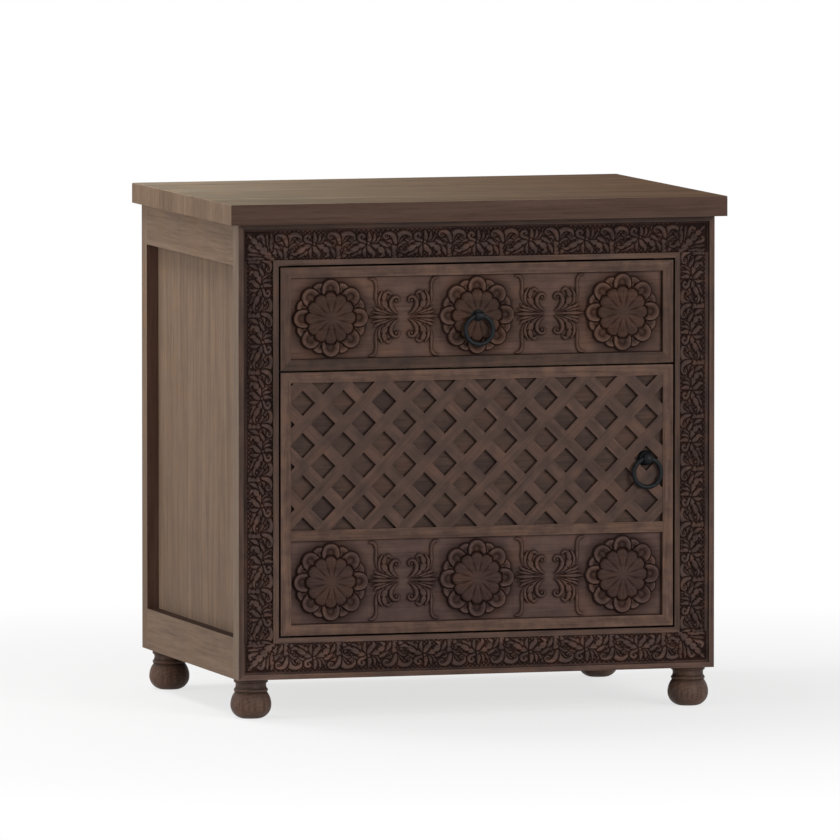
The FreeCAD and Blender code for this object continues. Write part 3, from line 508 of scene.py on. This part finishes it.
class Wood:
    """Stained wood whose grain runs one way.

    tones are its dark, middle and light colours, and tints the hues of its patches. The last argument
    is an axis and the painted light, shade and reflection along it."""

    def __init__(self, name, grain, tones, tints, roughness, figure_size=0.025, gloss=0.1,
                 patch_size=0.036, grain_strength=1.0, rings=False, other_faces=(), painted_light=()):
        self.material, self.tree, self.shader = new_material(name)
        coordinates = self.tree.nodes.new("ShaderNodeTexCoord")
        self.place = coordinates.outputs["Object"]
        self.normal = coordinates.outputs["Normal"]
        self.boxed = coordinates.outputs["Generated"]
        along = self.grain_vector(grain)
        if rings:
            figure = self.ring_figure()
        else:
            figure = self.noise(along, 1.0 / figure_size, detail=5.0, distortion=0.6)
        fibre = self.noise(along, FIBRE_SCALE, detail=4.0)
        pores = self.noise(along, PORE_SCALE, detail=2.0)
        colour = self.patched(self.toned(figure, tones), tints, patch_size)
        if painted_light:
            colour = self.shaded(colour, *painted_light)
        for direction, other_tones in other_faces:
            other = self.toned(figure, other_tones)
            colour = mix_colours(self.tree, "MIX", self.facing(self.normal, direction), colour, other)
        colour = self.grained(colour, fibre, pores, grain_strength)
        if rings:
            colour = self.shaded(colour, "Z", greys(FOOT_SHADE_AND_WAX))
        self.link(self.shaded_and_stained(colour), self.shader.inputs["Base Color"])
        uneven_roughness(self.tree, self.shader, figure, roughness - 0.1, roughness + 0.14)
        fine_bumps(self.tree, self.shader, fibre, 0.4, 0.4 * MM)
        self.shader.inputs["Specular IOR Level"].default_value = gloss

    def link(self, source, target):
        self.tree.links.new(source, target)

    def turned(self, vector, grain):
        axis, angle = GRAIN_TURNS[grain]
        node = add_node(self.tree, "ShaderNodeVectorRotate", Angle=math.radians(angle))
        node.rotation_type = f"{axis}_AXIS"
        self.link(vector, node.inputs["Vector"])
        return node.outputs["Vector"]

    def scaled(self, vector, scale, shift=(0.0, 0.0, 0.0)):
        node = add_node(self.tree, "ShaderNodeMapping", Scale=scale, Location=shift)
        self.link(vector, node.inputs["Vector"])
        return node.outputs["Vector"]

    def facing(self, normal, direction, both_ways=False):
        """1 on faces that look in a direction, and 0 on the others."""
        product = self.tree.nodes.new("ShaderNodeVectorMath")
        product.operation = "DOT_PRODUCT"
        product.inputs[1].default_value = direction
        self.link(normal, product.inputs[0])
        share = product.outputs["Value"]
        if both_ways:
            share = self.number("ABSOLUTE", share)
        return self.number("GREATER_THAN", share, FACING)

    def number(self, operation, first, second=0.0):
        node = self.tree.nodes.new("ShaderNodeMath")
        node.operation = operation
        node.inputs[1].default_value = second
        self.link(first, node.inputs[0])
        return node.outputs[0]

    def grain_vector(self, grain):
        """Places drawn out along the grain, and up and down on end grain."""
        place = self.turned(self.place, grain)
        node = self.tree.nodes.new("ShaderNodeMix")
        node.data_type = "VECTOR"
        end = self.facing(self.turned(self.normal, grain), (1.0, 0.0, 0.0), both_ways=True)
        self.link(end, node.inputs["Factor"])
        self.link(self.scaled(place, (GRAIN_STRETCH, 1.0, 1.0)), node.inputs["A"])
        self.link(self.scaled(place, (1.0, 1.0, END_STRETCH)), node.inputs["B"])
        return node.outputs["Result"]

    def noise(self, vector, scale, detail, distortion=0.0):
        texture = add_node(self.tree, "ShaderNodeTexNoise", Scale=scale, Detail=detail,
                           Distortion=distortion)
        self.link(vector, texture.inputs["Vector"])
        return texture.outputs["Fac"]

    def ring_figure(self):
        """Year rings, cut through by the turning."""
        shift = [-share * part for share, part in zip(RING_CENTRE, RING_SHAPE)]
        wave = add_node(self.tree, "ShaderNodeTexWave", Scale=3.2, Distortion=3.6, Detail=3.0)
        wave.wave_type = "RINGS"
        wave.rings_direction = "Y"
        self.link(self.scaled(self.boxed, RING_SHAPE, shift), wave.inputs["Vector"])
        return wave.outputs["Fac"]

    def shade(self, number, stops):
        node = ramp(self.tree, stops)
        self.link(number, node.inputs["Fac"])
        return node.outputs["Color"]

    def multiply(self, colour, share, other):
        return mix_colours(self.tree, "MULTIPLY", share, colour, other)

    def toned(self, figure, tones):
        return self.shade(figure, list(zip(TONE_STOPS, tones)))

    def patched(self, colour, tints, size):
        patches = self.noise(self.place, 1.0 / size, detail=5.0)
        hues = self.shade(patches, list(zip(PATCH_STOPS, (tints[0], WHITE, tints[1]))))
        return self.multiply(colour, 1.0, hues)

    def grained(self, colour, fibre, pores, strength):
        colour = self.multiply(colour, FIBRE_STRENGTH * strength, self.shade(fibre, FIBRE_STOPS))
        return self.multiply(colour, PORE_STRENGTH * strength, self.shade(pores, PORE_STOPS))

    def shaded(self, colour, axis, stops):
        """Painted light and shade along an axis. stops are shares of the piece's box and the hue there."""
        parts = self.tree.nodes.new("ShaderNodeSeparateXYZ")
        self.link(self.boxed, parts.inputs["Vector"])
        return self.multiply(colour, 1.0, self.shade(parts.outputs[axis], stops))

    def shaded_and_stained(self, colour):
        """Darker by the painted shade and stain that a carved mesh marks."""
        painted_shade_and_stain = self.tree.nodes.new("ShaderNodeAttribute")
        painted_shade_and_stain.attribute_name = "painted_shade_and_stain"
        shade_and_stain = self.shade(painted_shade_and_stain.outputs["Fac"], [(0.0, WHITE), (1.0, DARKEST_SHADE_AND_STAIN)])
        return self.multiply(colour, 1.0, shade_and_stain)


def metal(name, tones, roughness, metallic, gloss=0.5):
    """Metal or plastic with uneven tone and roughness."""
    material, tree, shader = new_material(name)
    place = tree.nodes.new("ShaderNodeTexCoord").outputs["Object"]
    noise = add_node(tree, "ShaderNodeTexNoise", Scale=240.0, Detail=4.0)
    tree.links.new(place, noise.inputs["Vector"])
    texture = noise.outputs["Fac"]
    colour = ramp(tree, [(0.35, tones[0]), (0.65, tones[1])])
    tree.links.new(texture, colour.inputs["Fac"])
    tree.links.new(colour.outputs["Color"], shader.inputs["Base Color"])
    uneven_roughness(tree, shader, texture, roughness - 0.1, roughness + 0.15)
    fine_bumps(tree, shader, texture, 0.25, 0.3 * MM)
    shader.inputs["Metallic"].default_value = metallic
    shader.inputs["Specular IOR Level"].default_value = gloss
    return material


# Two hues of the patches in a wood, then the dark, middle and light tones of each wood
QUIET_TINTS = ((0.96, 0.95, 0.96), (1.06, 1.01, 0.95))
RICH_TINTS = ((0.84, 0.82, 0.86), (1.17, 1.08, 0.99))
STRIP_TINTS = ((0.8, 0.78, 0.8), (1.22, 1.15, 1.08))
BACKING_TINTS = ((0.7, 0.7, 0.74), (1.2, 1.12, 1.04))
LATTICE_TINTS = ((0.78, 0.76, 0.79), (1.24, 1.16, 1.07))
BORDER_TINTS = ((0.8, 0.8, 0.86), (1.3, 1.14, 1.06))
# The woods of the front are darker than those of the sides and top, partly by their own stain and partly as
# painted shade on the front
CASE_TONES = ((0.1342, 0.0913, 0.0638), (0.165, 0.1144, 0.0814), (0.1958, 0.1375, 0.099))
TOP_TONES = ((0.1551, 0.111, 0.0789), (0.188, 0.1354, 0.097), (0.2209, 0.1599, 0.115))
EDGE_SHADE_TONES = ((0.067, 0.0402, 0.0308), (0.0838, 0.0516, 0.0402), (0.1005, 0.0636, 0.0496))
FRAME_TONES = ((0.052, 0.0308, 0.0235), (0.0748, 0.0453, 0.0345), (0.0975, 0.0598, 0.0463))
BORDER_TONES = ((0.0475, 0.0299, 0.0252), (0.0712, 0.0452, 0.0379), (0.095, 0.0615, 0.0523))
STRIP_TONES = ((0.0674, 0.0378, 0.0271), (0.0963, 0.0561, 0.0407), (0.1253, 0.075, 0.0554))
LATTICE_TONES = ((0.0535, 0.0315, 0.024), (0.0678, 0.0397, 0.0305), (0.0821, 0.0485, 0.0374))
BACKING_TONES = ((0.0504, 0.0306, 0.024), (0.061, 0.0369, 0.029), (0.0716, 0.0436, 0.0344))
CARVED_TONES = ((0.0744, 0.0458, 0.0391), (0.0897, 0.0552, 0.047), (0.1049, 0.0647, 0.055))
DRAWER_TONES = ((0.0816, 0.0487, 0.0377), (0.0984, 0.0586, 0.0455), (0.1151, 0.0685, 0.0533))
FOOT_TONES = ((0.0863, 0.0521, 0.0397), (0.095, 0.0583, 0.0438), (0.1037, 0.0647, 0.0487))
REVEAL_SHADE_TONES = ((0.026, 0.014, 0.01), (0.036, 0.02, 0.014), (0.046, 0.027, 0.02))
STILE_REVEAL_SHADE_TONES = ((0.07, 0.037, 0.027), (0.097, 0.053, 0.038), (0.124, 0.071, 0.054))
INNER_TONES = ((0.24, 0.165, 0.1), (0.34, 0.24, 0.15), (0.43, 0.32, 0.21))

LOOKS = {
    "wood_top": dict(tones=TOP_TONES, tints=QUIET_TINTS, roughness=0.72, figure_size=0.03, gloss=0.0,
                     grain_strength=0.7),
    "wood_side": dict(tones=CASE_TONES, tints=QUIET_TINTS, roughness=0.68, figure_size=0.016, gloss=0.05,
                      grain_strength=0.6),
    "wood_frame": dict(tones=FRAME_TONES, tints=RICH_TINTS, roughness=0.58),
    "border": dict(tones=BORDER_TONES, tints=BORDER_TINTS, roughness=0.58, patch_size=0.018, gloss=0.05),
    "wood_strip": dict(tones=STRIP_TONES, tints=STRIP_TINTS, roughness=0.52, figure_size=0.02,
                       patch_size=0.015),
    "wood_lattice": dict(tones=LATTICE_TONES, tints=LATTICE_TINTS, roughness=0.52, figure_size=0.008,
                         patch_size=0.024, grain_strength=0.6),
    "wood_backing": dict(tones=BACKING_TONES, tints=BACKING_TINTS, roughness=0.62, figure_size=0.01,
                         patch_size=0.04, grain_strength=0.8),
    "wood_carved": dict(tones=CARVED_TONES, tints=RICH_TINTS, roughness=0.56, patch_size=0.028,
                        grain_strength=0.7, gloss=0.06),
    "wood_foot": dict(tones=FOOT_TONES, tints=RICH_TINTS, roughness=0.5, rings=True),
    "wood_inner": dict(tones=INNER_TONES, tints=QUIET_TINTS, roughness=0.65, figure_size=0.038),
}
LOOKS["drawer_carving"] = dict(LOOKS["wood_carved"], tones=DRAWER_TONES)
# Nodes whose grain doesn't run along the longest side of their box
ACROSS_GRAIN = {
    "Y": ("corner_blocks", "drawer_kickers"),
    "Z": ("back_panel", "foot_blocks", "foot_front_left", "foot_front_right", "foot_rear_left",
          "foot_rear_right"),
    "rising": ("lattice_slats_rising",),
    "falling": ("lattice_slats_falling",),
}
GRAIN_BY_NODE = {node: grain for grain, names in ACROSS_GRAIN.items() for node in names}
# Faces of one board that look other ways take other tones: painted light makes the case's side faces
# paler than its front, painted shade makes the top's front edge as dark as the front, and darker painted
# shade lies on the faces beside the sunk side panels
TO_LEFT, TO_RIGHT, TO_FRONT = (-1.0, 0.0, 0.0), (1.0, 0.0, 0.0), (0.0, -1.0, 0.0)
UPWARDS, DOWNWARDS = (0.0, 0.0, 1.0), (0.0, 0.0, -1.0)
FACES_BY_NODE = {"frame_stile_left": ((TO_LEFT, CASE_TONES), (TO_RIGHT, REVEAL_SHADE_TONES)),
                 "frame_stile_right": ((TO_RIGHT, CASE_TONES), (TO_LEFT, REVEAL_SHADE_TONES)),
                 "top_panel": ((TO_FRONT, EDGE_SHADE_TONES), (TO_LEFT, CASE_TONES), (TO_RIGHT, CASE_TONES))}
# Faces that look into the gaps around the drawer and the door are darkened with painted shade
GAP_SHADED_FACES = {UPWARDS: ("frame_rail_bottom", "drawer_strip_top", "door_rail_top"),
             DOWNWARDS: ("frame_rail_top", "drawer_strip_bottom", "door_rail_bottom"),
             TO_LEFT: ("drawer_strip_left", "door_stile_left"),
             TO_RIGHT: ("drawer_strip_right", "door_stile_right")}
for direction, names in GAP_SHADED_FACES.items():
    for name in names:
        FACES_BY_NODE[name] = ((direction, REVEAL_SHADE_TONES),)
for side in ("left", "right"):
    FACES_BY_NODE[f"side_stile_rear_{side}"] = ((TO_FRONT, STILE_REVEAL_SHADE_TONES),)
    FACES_BY_NODE[f"side_rail_bottom_{side}"] = ((UPWARDS, REVEAL_SHADE_TONES),)
    FACES_BY_NODE[f"side_rail_top_{side}"] = ((DOWNWARDS, REVEAL_SHADE_TONES),)
# Some boards are darker or paler, partly as their own wood and partly as painted light and shade, such as
# the drawer's bottom strip painted as in shadow and the right front foot painted as lit
SHADES = {"drawer_strip_bottom": 0.54, "drawer_strip_left": 0.66, "drawer_strip_right": 0.75,
          "drawer_strip_top": 0.9, "door_stile_left": 0.92, "door_rail_bottom": 1.1,
          "lattice_slats_rising": 1.01, "lattice_slats_falling": 1.1,
          "foot_front_left": 0.95, "foot_front_right": 1.14}
# Painted light and shade make some lips of the frame lighter than others, and a painted reflection makes
# the top greyer at its left and redder at its right
LIP_PAINTED_LIGHT = (("frame_rail_top", "Z", 1.18, 0.58), ("frame_rail_bottom", "Z", 1.6, 1.08),
        ("frame_stile_right", "X", 0.78, 1.33))
PAINTED_LIGHT_BY_NODE = {name: (axis, greys(((0.35, low), (0.65, high)))) for name, axis, low, high in LIP_PAINTED_LIGHT}
PAINTED_LIGHT_BY_NODE["top_panel"] = ("X", ((0.05, (1.03, 1.16, 1.2)), (0.95, (0.98, 0.88, 0.85))))
woods = {}


def wood_for(look, grain, other_faces=(), shade=1.0, painted_light=()):
    """The wood of a look with its grain along one axis, made once."""
    key = (look, grain, other_faces, shade, painted_light)
    if key not in woods:
        choices = dict(LOOKS[look], other_faces=other_faces, painted_light=painted_light)
        choices["tones"] = [[shade * part for part in tone] for tone in choices["tones"]]
        woods[key] = Wood(f"{look}_{grain.lower()}", grain, **choices).material
    return woods[key]


def long_axis(node):
    low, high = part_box(node)
    extent = high - low
    return "XYZ"[max(range(3), key=lambda axis: extent[axis])]


METALS = {
    "iron": metal("iron", ((0.003, 0.0035, 0.0043), (0.0065, 0.0078, 0.0097)), 0.42, 0.0, 0.13),
    "steel": metal("steel", ((0.3, 0.3, 0.3), (0.4, 0.4, 0.4)), 0.4, 0.9, 0.5),
    "catch_plastic": metal("catch_plastic", ((0.16, 0.1, 0.07), (0.2, 0.13, 0.09)), 0.5, 0.0),
    "blackened_shaded_steel": metal("blackened_shaded_steel", ((0.002, 0.002, 0.002), (0.004, 0.0038, 0.0036)), 0.6, 0.0,
                             0.05),
}
# The pivot hardware in the door's gap has a blackened finish and is painted nearly black beyond it, as
# painted shade in the gap
GAP_SHADED_PARTS = ("pivot_brackets", "pivot_pins", "pivot_bushes")
node_slots = {entry["node"]: entry["material_slot"] for entry in frame["record"]["subparts"]}


def material_of(node):
    slot = "blackened_shaded_steel" if node in GAP_SHADED_PARTS else node_slots[node]
    if slot in METALS:
        return METALS[slot]
    return wood_for(slot, GRAIN_BY_NODE.get(node) or long_axis(node), FACES_BY_NODE.get(node, ()),
                    SHADES.get(node, 1.0), PAINTED_LIGHT_BY_NODE.get(node, ()))


for name, obj in frame["nodes"].items():
    obj.data.materials.clear()
    obj.data.materials.append(material_of(name))

# Carved border in the sunk field of the face frame
frame_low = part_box("frame_rail_bottom")[0]
frame_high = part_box("frame_rail_top")[1]
frame_width = frame_high.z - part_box("frame_rail_top")[0].z
field_width = frame_width - 2 * LIP_WIDTH
field_floor = front + FIELD_DEPTH
BORDER_STEP = 0.6
BORDER_GROUND = 0.15 * MM
# The border's low parts are darker, as painted shade and as wear that leaves its tops lighter
BORDER_DEPTH_SHADE = 0.7
# A plain band runs along the outer edge of the field
RAIL_BAND = 3.8
STILE_BAND = 6.2
BAND_HEIGHT = 1.2
BAND_SLOPE = 2.2
RAIL_PITCH = 69.4
STILE_REPEATS = 7
# The vine's own v at the inner edge of a stile's field, where its curls are
STILE_VINE_START = 37.6
# A rail's vine fades out over this much of the corner
CORNER_FADE = 3.0


def squeeze(band_width):
    """The motifs are drawn over the whole field and squeezed by this to leave room for the plain band."""
    return field_width / (field_width - band_width * MM)


def outer_band(v, band_width):
    """1 on the plain band along the outer edge of the field."""
    inner_edge = field_width / MM - band_width
    return smooth_step(inner_edge, inner_edge + BAND_SLOPE, v)


def border_slab(name, across, up, height, band, band_shade, grain, shade):
    return carved_slab(name, across * MM, up * MM, field_floor - BORDER_GROUND,
                       np.maximum(height, BAND_HEIGHT * band), field_floor, "carcass",
                       wood_for("border", grain, shade=shade), BORDER_DEPTH_SHADE, band_shade * band)


def border_rail(name, inner_z, outward, band_shade, shade):
    """A rail's carving, with a leaf in each corner. outward is 1 for the top rail and -1 for the bottom."""
    half = (frame_high.x - frame_low.x) / 2 / MM - LIP_WIDTH / MM
    u, v = grid((-half, half), (0.0, field_width / MM), BORDER_STEP)
    past_opening = np.abs(u) - half + field_width / MM
    drawn = squeeze(RAIL_BAND)
    relief = Relief(past_opening * drawn, v * drawn, None, VINE_FULLNESS, VINE_ROUNDNESS)
    relief.height = vine_heights(u, v * drawn, RAIL_PITCH) * smooth_step(CORNER_FADE, 0.0, past_opening)
    corner_leaf(relief)
    band = np.maximum(outer_band(v, RAIL_BAND), outer_band(past_opening, RAIL_BAND))
    border_slab(name, u, inner_z / MM + outward * v, relief.height, band, band_shade, "X", shade)


def border_stile(name, inner_x, outward, band_shade):
    """The carving of a stile's field between the rails, with its curls towards the opening."""
    low = (frame_low.z + LIP_WIDTH + field_width) / MM
    high = (frame_high.z - LIP_WIDTH - field_width) / MM
    pitch = (high - low) / STILE_REPEATS
    u, v = grid((low, high), (0.0, field_width / MM), BORDER_STEP)
    height = vine_heights(u - low - pitch / 2, STILE_VINE_START - v * squeeze(STILE_BAND), pitch)
    band = outer_band(v, STILE_BAND)
    border_slab(name, inner_x / MM + outward * v, u, height * (1.0 - band), band, band_shade, "Z", 1.0)


inner_x = frame_high.x - LIP_WIDTH - field_width
# Each member's plain band takes painted shade, most on the top rail under the top's overhang, and the right
# stile's takes painted light
border_rail("border_top", frame_high.z - LIP_WIDTH - field_width, 1, band_shade=0.25, shade=1.0)
border_rail("border_bottom", frame_low.z + LIP_WIDTH + field_width, -1, band_shade=0.02, shade=1.45)
border_stile("border_left", -inner_x, -1, band_shade=0.16)
border_stile("border_right", inner_x, 1, band_shade=-0.3)


# Carved panels, each in five blocks side by side: a rosette, a scroll, a rosette, a scroll and a rosette
MOTIF_STEP = 0.5
# The strips cover this much of a panel's edge, and painted shadow darkens the ground beside them
PANEL_SEAT = 3.8
STRIP_SHADE = 2.0
SCROLL_STAIN = 0.14
SCROLL_RISE = (0.2, 1.4)
BLOCK_NAMES = ("rosette_left", "scroll_left", "rosette_middle", "scroll_right", "rosette_right")


def carved_panel(node, body, look, heart_stain):
    low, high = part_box(node)
    ground = front + GROUND_DEPTH
    centre_z = (low.z + high.z) / 2
    half = high.x / MM
    edges = [-half] + [ROSETTE_PITCH * share for share in (-0.75, -0.25, 0.25, 0.75)] + [half]
    z_range = ((low.z - centre_z) / MM, (high.z - centre_z) / MM)
    for word, left, right in zip(BLOCK_NAMES, edges, edges[1:]):
        x, z = grid((left, right), z_range, MOTIF_STEP)
        from_strip = np.minimum(half - np.abs(x), z_range[1] - np.abs(z)) - PANEL_SEAT
        # Painted shadow beside the strips, painted shade in and around the rosettes, and stain on the
        # hearts and scrolls
        shade_and_stain = smooth_step(STRIP_SHADE, 0.0, from_strip)
        height = np.zeros_like(x)
        for number in (-1, 0, 1):
            petals, petal_shade_and_stain = rosette(x - number * ROSETTE_PITCH, z, heart_stain)
            height = np.maximum(height, petals)
            shade_and_stain = shade_and_stain + petal_shade_and_stain
        for number in (-0.5, 0.5):
            scroll = scroll_heights(x - number * ROSETTE_PITCH, z)
            height = np.maximum(height, scroll)
            shade_and_stain = shade_and_stain + SCROLL_STAIN * smooth_step(*SCROLL_RISE, scroll)
        block = carved_slab(f"{node}_{word}", x * MM, centre_z + z * MM, ground, height, high.y, body,
                            wood_for(look, "X"), extra_shade_and_stain=shade_and_stain)
        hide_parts(node)


carved_panel("drawer_panel", "drawer", "drawer_carving", heart_stain=0.5)
carved_panel("door_panel", "door", "wood_carved", heart_stain=0.48)


def ring_hinge(ring):
    """Where a pull's ring hangs: the middle of its topmost cross-section."""
    low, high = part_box(ring)
    return (low.x + high.x) / 2, (low.y + high.y) / 2, high.z - (high.y - low.y) / 2


# Board behind the lattice, with painted shadow along the edges of the slats. The door's pull sits
# in an opening between them, half a pitch beside a crossing.
LATTICE_PITCH = 51.8
SLAT_WIDTH = 14.4
SLAT_SHADE = 2.0
SLAT_SHADOW = 0.52
BACKING_STEP = 1.1


def lattice_backing():
    low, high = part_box("lattice_backing")
    pull_x, _, pull_z = ring_hinge("door_pull_ring")
    x, z = grid((low.x / MM, high.x / MM), (low.z / MM, high.z / MM), BACKING_STEP)
    run = x - pull_x / MM - LATTICE_PITCH / 2
    rise = z - pull_z / MM
    gaps = []
    for slope in (1, -1):
        aside = (rise - slope * run + LATTICE_PITCH / 2) % LATTICE_PITCH - LATTICE_PITCH / 2
        gaps.append(np.abs(aside) * math.sqrt(0.5) - SLAT_WIDTH / 2)
    shade_and_stain = SLAT_SHADOW * smooth_step(SLAT_SHADE, 0.0, np.minimum(*gaps))
    board = carved_slab("lattice_backing_board", x * MM, z * MM, front + GROUND_DEPTH, np.zeros_like(x),
                        high.y, "door", wood_for("wood_backing", "X"), extra_shade_and_stain=shade_and_stain)
    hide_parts("lattice_backing")


lattice_backing()

# Forged bosses of the ring pulls: a plate with a rounded eye for the ring, on a stem riveted behind
NECK_RADIUS = 5.0
STEM_RADIUS = 2.5
RIVET_RADIUS = 4.5
RIVET_THICK = 2.0
EYE_HALF_WIDTH = 5.5
EYE_BORE = 3.91
EYE_WALL = 0.5
EYE_STEPS = 13
EDGE_STEPS = 5
LATHE_STEPS = 48


def lathe(profile, spot, along, closed):
    """A surface turned around an axis along X or Y: its vertices and faces.

    profile has (radius, place) points. An open one starts and ends on the axis, and a closed one goes
    round a bore."""
    turns = 2 * math.pi * np.arange(LATHE_STEPS) / LATHE_STEPS
    inner = profile if closed else profile[1:-1]
    rings = []
    for radius, place in inner:
        ring = np.zeros((LATHE_STEPS, 3))
        ring[:, along] = place
        ring[:, 1 - along] = radius * np.cos(turns)
        ring[:, 2] = radius * np.sin(turns)
        rings.append(ring)
    vertices = np.vstack(rings)
    index = np.arange(len(vertices)).reshape(len(inner), LATHE_STEPS)
    after = np.roll(index, -1, axis=0) if closed else index[1:]
    before = index if closed else index[:-1]
    faces = np.stack([before, np.roll(before, -1, axis=1), np.roll(after, -1, axis=1), after], axis=-1)
    faces = faces.reshape(-1, 4).tolist()
    if not closed:
        poles = np.zeros((2, 3))
        poles[:, along] = profile[0][1], profile[-1][1]
        first, last = len(vertices), len(vertices) + 1
        vertices = np.vstack([vertices, poles])
        for start, end in zip(range(LATHE_STEPS), np.roll(range(LATHE_STEPS), -1).tolist()):
            faces.append((first, end, start))
            faces.append((last, index[-1, start].item(), index[-1, end].item()))
    return vertices * MM + spot, faces


def pull_boss(node, ring, body, seat, plate_radius, plate_thick, eye_radius):
    """seat is the Y of the face that the plate lies on."""
    low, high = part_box(node)
    spot = np.array([(low.x + high.x) / 2, *ring_hinge(ring)[1:]])
    back = (high.y - spot[1]) / MM
    plate_back = (seat - spot[1]) / MM
    plate_front = plate_back - plate_thick
    edge = np.linspace(0.0, math.pi / 2, EDGE_STEPS)
    plate_edge = [(plate_radius - plate_thick * (1 - math.cos(turn)),
                   plate_back - plate_thick * math.sin(turn)) for turn in edge]
    post = [(0.0, back), (RIVET_RADIUS, back), (RIVET_RADIUS, back - RIVET_THICK),
            (STEM_RADIUS, back - RIVET_THICK), (STEM_RADIUS, plate_back)] + plate_edge
    if plate_front > EYE_BORE + EYE_WALL:
        post += [(NECK_RADIUS, plate_front), (NECK_RADIUS, EYE_BORE + EYE_WALL)]
    post.append((0.0, post[-1][1]))
    sweep = np.linspace(0.0, math.pi, EYE_STEPS)
    bead = [(EYE_BORE + (eye_radius - EYE_BORE) * math.sin(turn), -EYE_HALF_WIDTH * math.cos(turn))
            for turn in sweep]
    for part, profile, along in (("post", post, 1), ("eye", bead, 0)):
        vertices, faces = lathe(profile, spot, along, closed=part == "eye")
        piece = mesh_object(f"{node}_{part}", vertices.tolist(), faces, body, METALS["iron"],
                            len(faces))
        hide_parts(node)


pull_boss("drawer_pull_boss", "drawer_pull_ring", "drawer", front + GROUND_DEPTH - HEART_RISE * MM,
          plate_radius=7.5, plate_thick=2.0, eye_radius=5.4)
pull_boss("door_pull_boss", "door_pull_ring", "door", front + GROUND_DEPTH,
          plate_radius=9.5, plate_thick=5.9, eye_radius=7.2)

# Camera, as the photograph was taken: far away, with a long lens
CAMERA_YAW = 0.2885
CAMERA_PITCH = 0.0802
CAMERA_DISTANCE = 16.899
CAMERA_LENS = 589.9
CAMERA_REACH = 60.0
SENSOR = 36.0
AIM_HEIGHT = 0.354
AIM_RIGHT = -0.07084
AIM_UP = 0.00821

forward = Vector((math.sin(CAMERA_YAW) * math.cos(CAMERA_PITCH),
                  math.cos(CAMERA_YAW) * math.cos(CAMERA_PITCH), -math.sin(CAMERA_PITCH)))
right = Vector((math.cos(CAMERA_YAW), -math.sin(CAMERA_YAW), 0.0))
up = right.cross(forward)
camera_data = bpy.data.cameras.new("camera")
camera_data.lens = CAMERA_LENS
camera_data.sensor_width = SENSOR
camera_data.clip_end = CAMERA_REACH
camera = add_object("camera", camera_data)
place = Vector((0.0, front, AIM_HEIGHT)) - forward * CAMERA_DISTANCE + right * AIM_RIGHT + up * AIM_UP
turn = Matrix((right, up, -forward)).transposed()
camera.matrix_world = Matrix.Translation(place) @ turn.to_4x4()
bpy.context.scene.camera = camera

# Floor, light and background
FLOOR_HALF = 12.0
FLOOR_COLOUR = (0.86, 0.86, 0.86, 1.0)
# The floor is seen as white far from the object, and near it as this share of white over its own colour
NEAR_SHARE = 0.7
NEAR, FAR = 0.45, 1.3
LAMP_AIM = Vector((0.0, 0.0, 0.35))


def combined(tree, operation, first, second):
    node = tree.nodes.new("ShaderNodeMath")
    node.operation = operation
    tree.links.new(first, node.inputs[0])
    tree.links.new(second, node.inputs[1])
    return node.outputs[0]


def background_share(tree):
    """1 for a ray that sees the background itself, and 0 for one that lights the object."""
    rays = tree.nodes.new("ShaderNodeLightPath").outputs
    share = combined(tree, "MAXIMUM", rays["Is Camera Ray"], rays["Is Glossy Ray"])
    return combined(tree, "MAXIMUM", share, rays["Is Transmission Ray"])


def blend_surfaces(tree, share, first, second, output):
    """Give a material or world the first surface where share is 0, and the second where it is 1."""
    blend = tree.nodes.new("ShaderNodeMixShader")
    for source, target in zip((share, first.outputs[0], second.outputs[0]), blend.inputs):
        tree.links.new(source, target)
    tree.links.new(blend.outputs[0], tree.nodes[output].inputs["Surface"])


def pale_floor():
    mesh = bpy.data.meshes.new("floor")
    corners = [(-1, -1), (1, -1), (1, 1), (-1, 1)]
    mesh.from_pydata([(x * FLOOR_HALF, y * FLOOR_HALF, 0) for x, y in corners], [], [(0, 1, 2, 3)])
    floor = add_object("floor", mesh)
    material, tree, shader = new_material("floor")
    shader.inputs["Base Color"].default_value = FLOOR_COLOUR
    shader.inputs["Roughness"].default_value = 0.9
    glow = add_node(tree, "ShaderNodeEmission", Strength=1.0)
    spot = tree.nodes.new("ShaderNodeNewGeometry").outputs["Position"]
    distance = tree.nodes.new("ShaderNodeVectorMath")
    distance.operation = "LENGTH"
    tree.links.new(spot, distance.inputs[0])
    whiter = add_node(tree, "ShaderNodeMapRange", From_Min=NEAR, From_Max=FAR, To_Min=NEAR_SHARE,
                      To_Max=1.0)
    tree.links.new(distance.outputs["Value"], whiter.inputs["Value"])
    share = combined(tree, "MULTIPLY", background_share(tree), whiter.outputs["Result"])
    blend_surfaces(tree, share, shader, glow, "Material Output")
    mesh.materials.append(material)


def world_light(strength):
    world = bpy.data.worlds.new("studio")
    bpy.context.scene.world = world
    world.use_nodes = True
    tree = world.node_tree
    lit = tree.nodes["Background"]
    lit.inputs["Color"].default_value = (*WHITE, 1.0)
    lit.inputs["Strength"].default_value = strength
    seen = add_node(tree, "ShaderNodeBackground", Color=(*WHITE, 1.0), Strength=1.0)
    blend_surfaces(tree, background_share(tree), lit, seen, "World Output")


def soft_lamp(name, spot, size, power):
    data = bpy.data.lights.new(name, "AREA")
    data.size = size
    data.energy = power
    lamp = add_object(name, data)
    lamp.location = spot
    lamp.rotation_euler = (LAMP_AIM - Vector(spot)).to_track_quat("-Z", "Y").to_euler()


pale_floor()
world_light(strength=0.34)
soft_lamp("side", (-2.2, -0.1, 0.72), size=1.4, power=20.5)
soft_lamp("overhead", (-0.55, 0.2, 1.2), size=0.4, power=5.6)
soft_lamp("front", (2.0, -4.8, 1.6), size=2.6, power=158.0)
bpy.context.scene.view_settings.view_transform = "Standard"
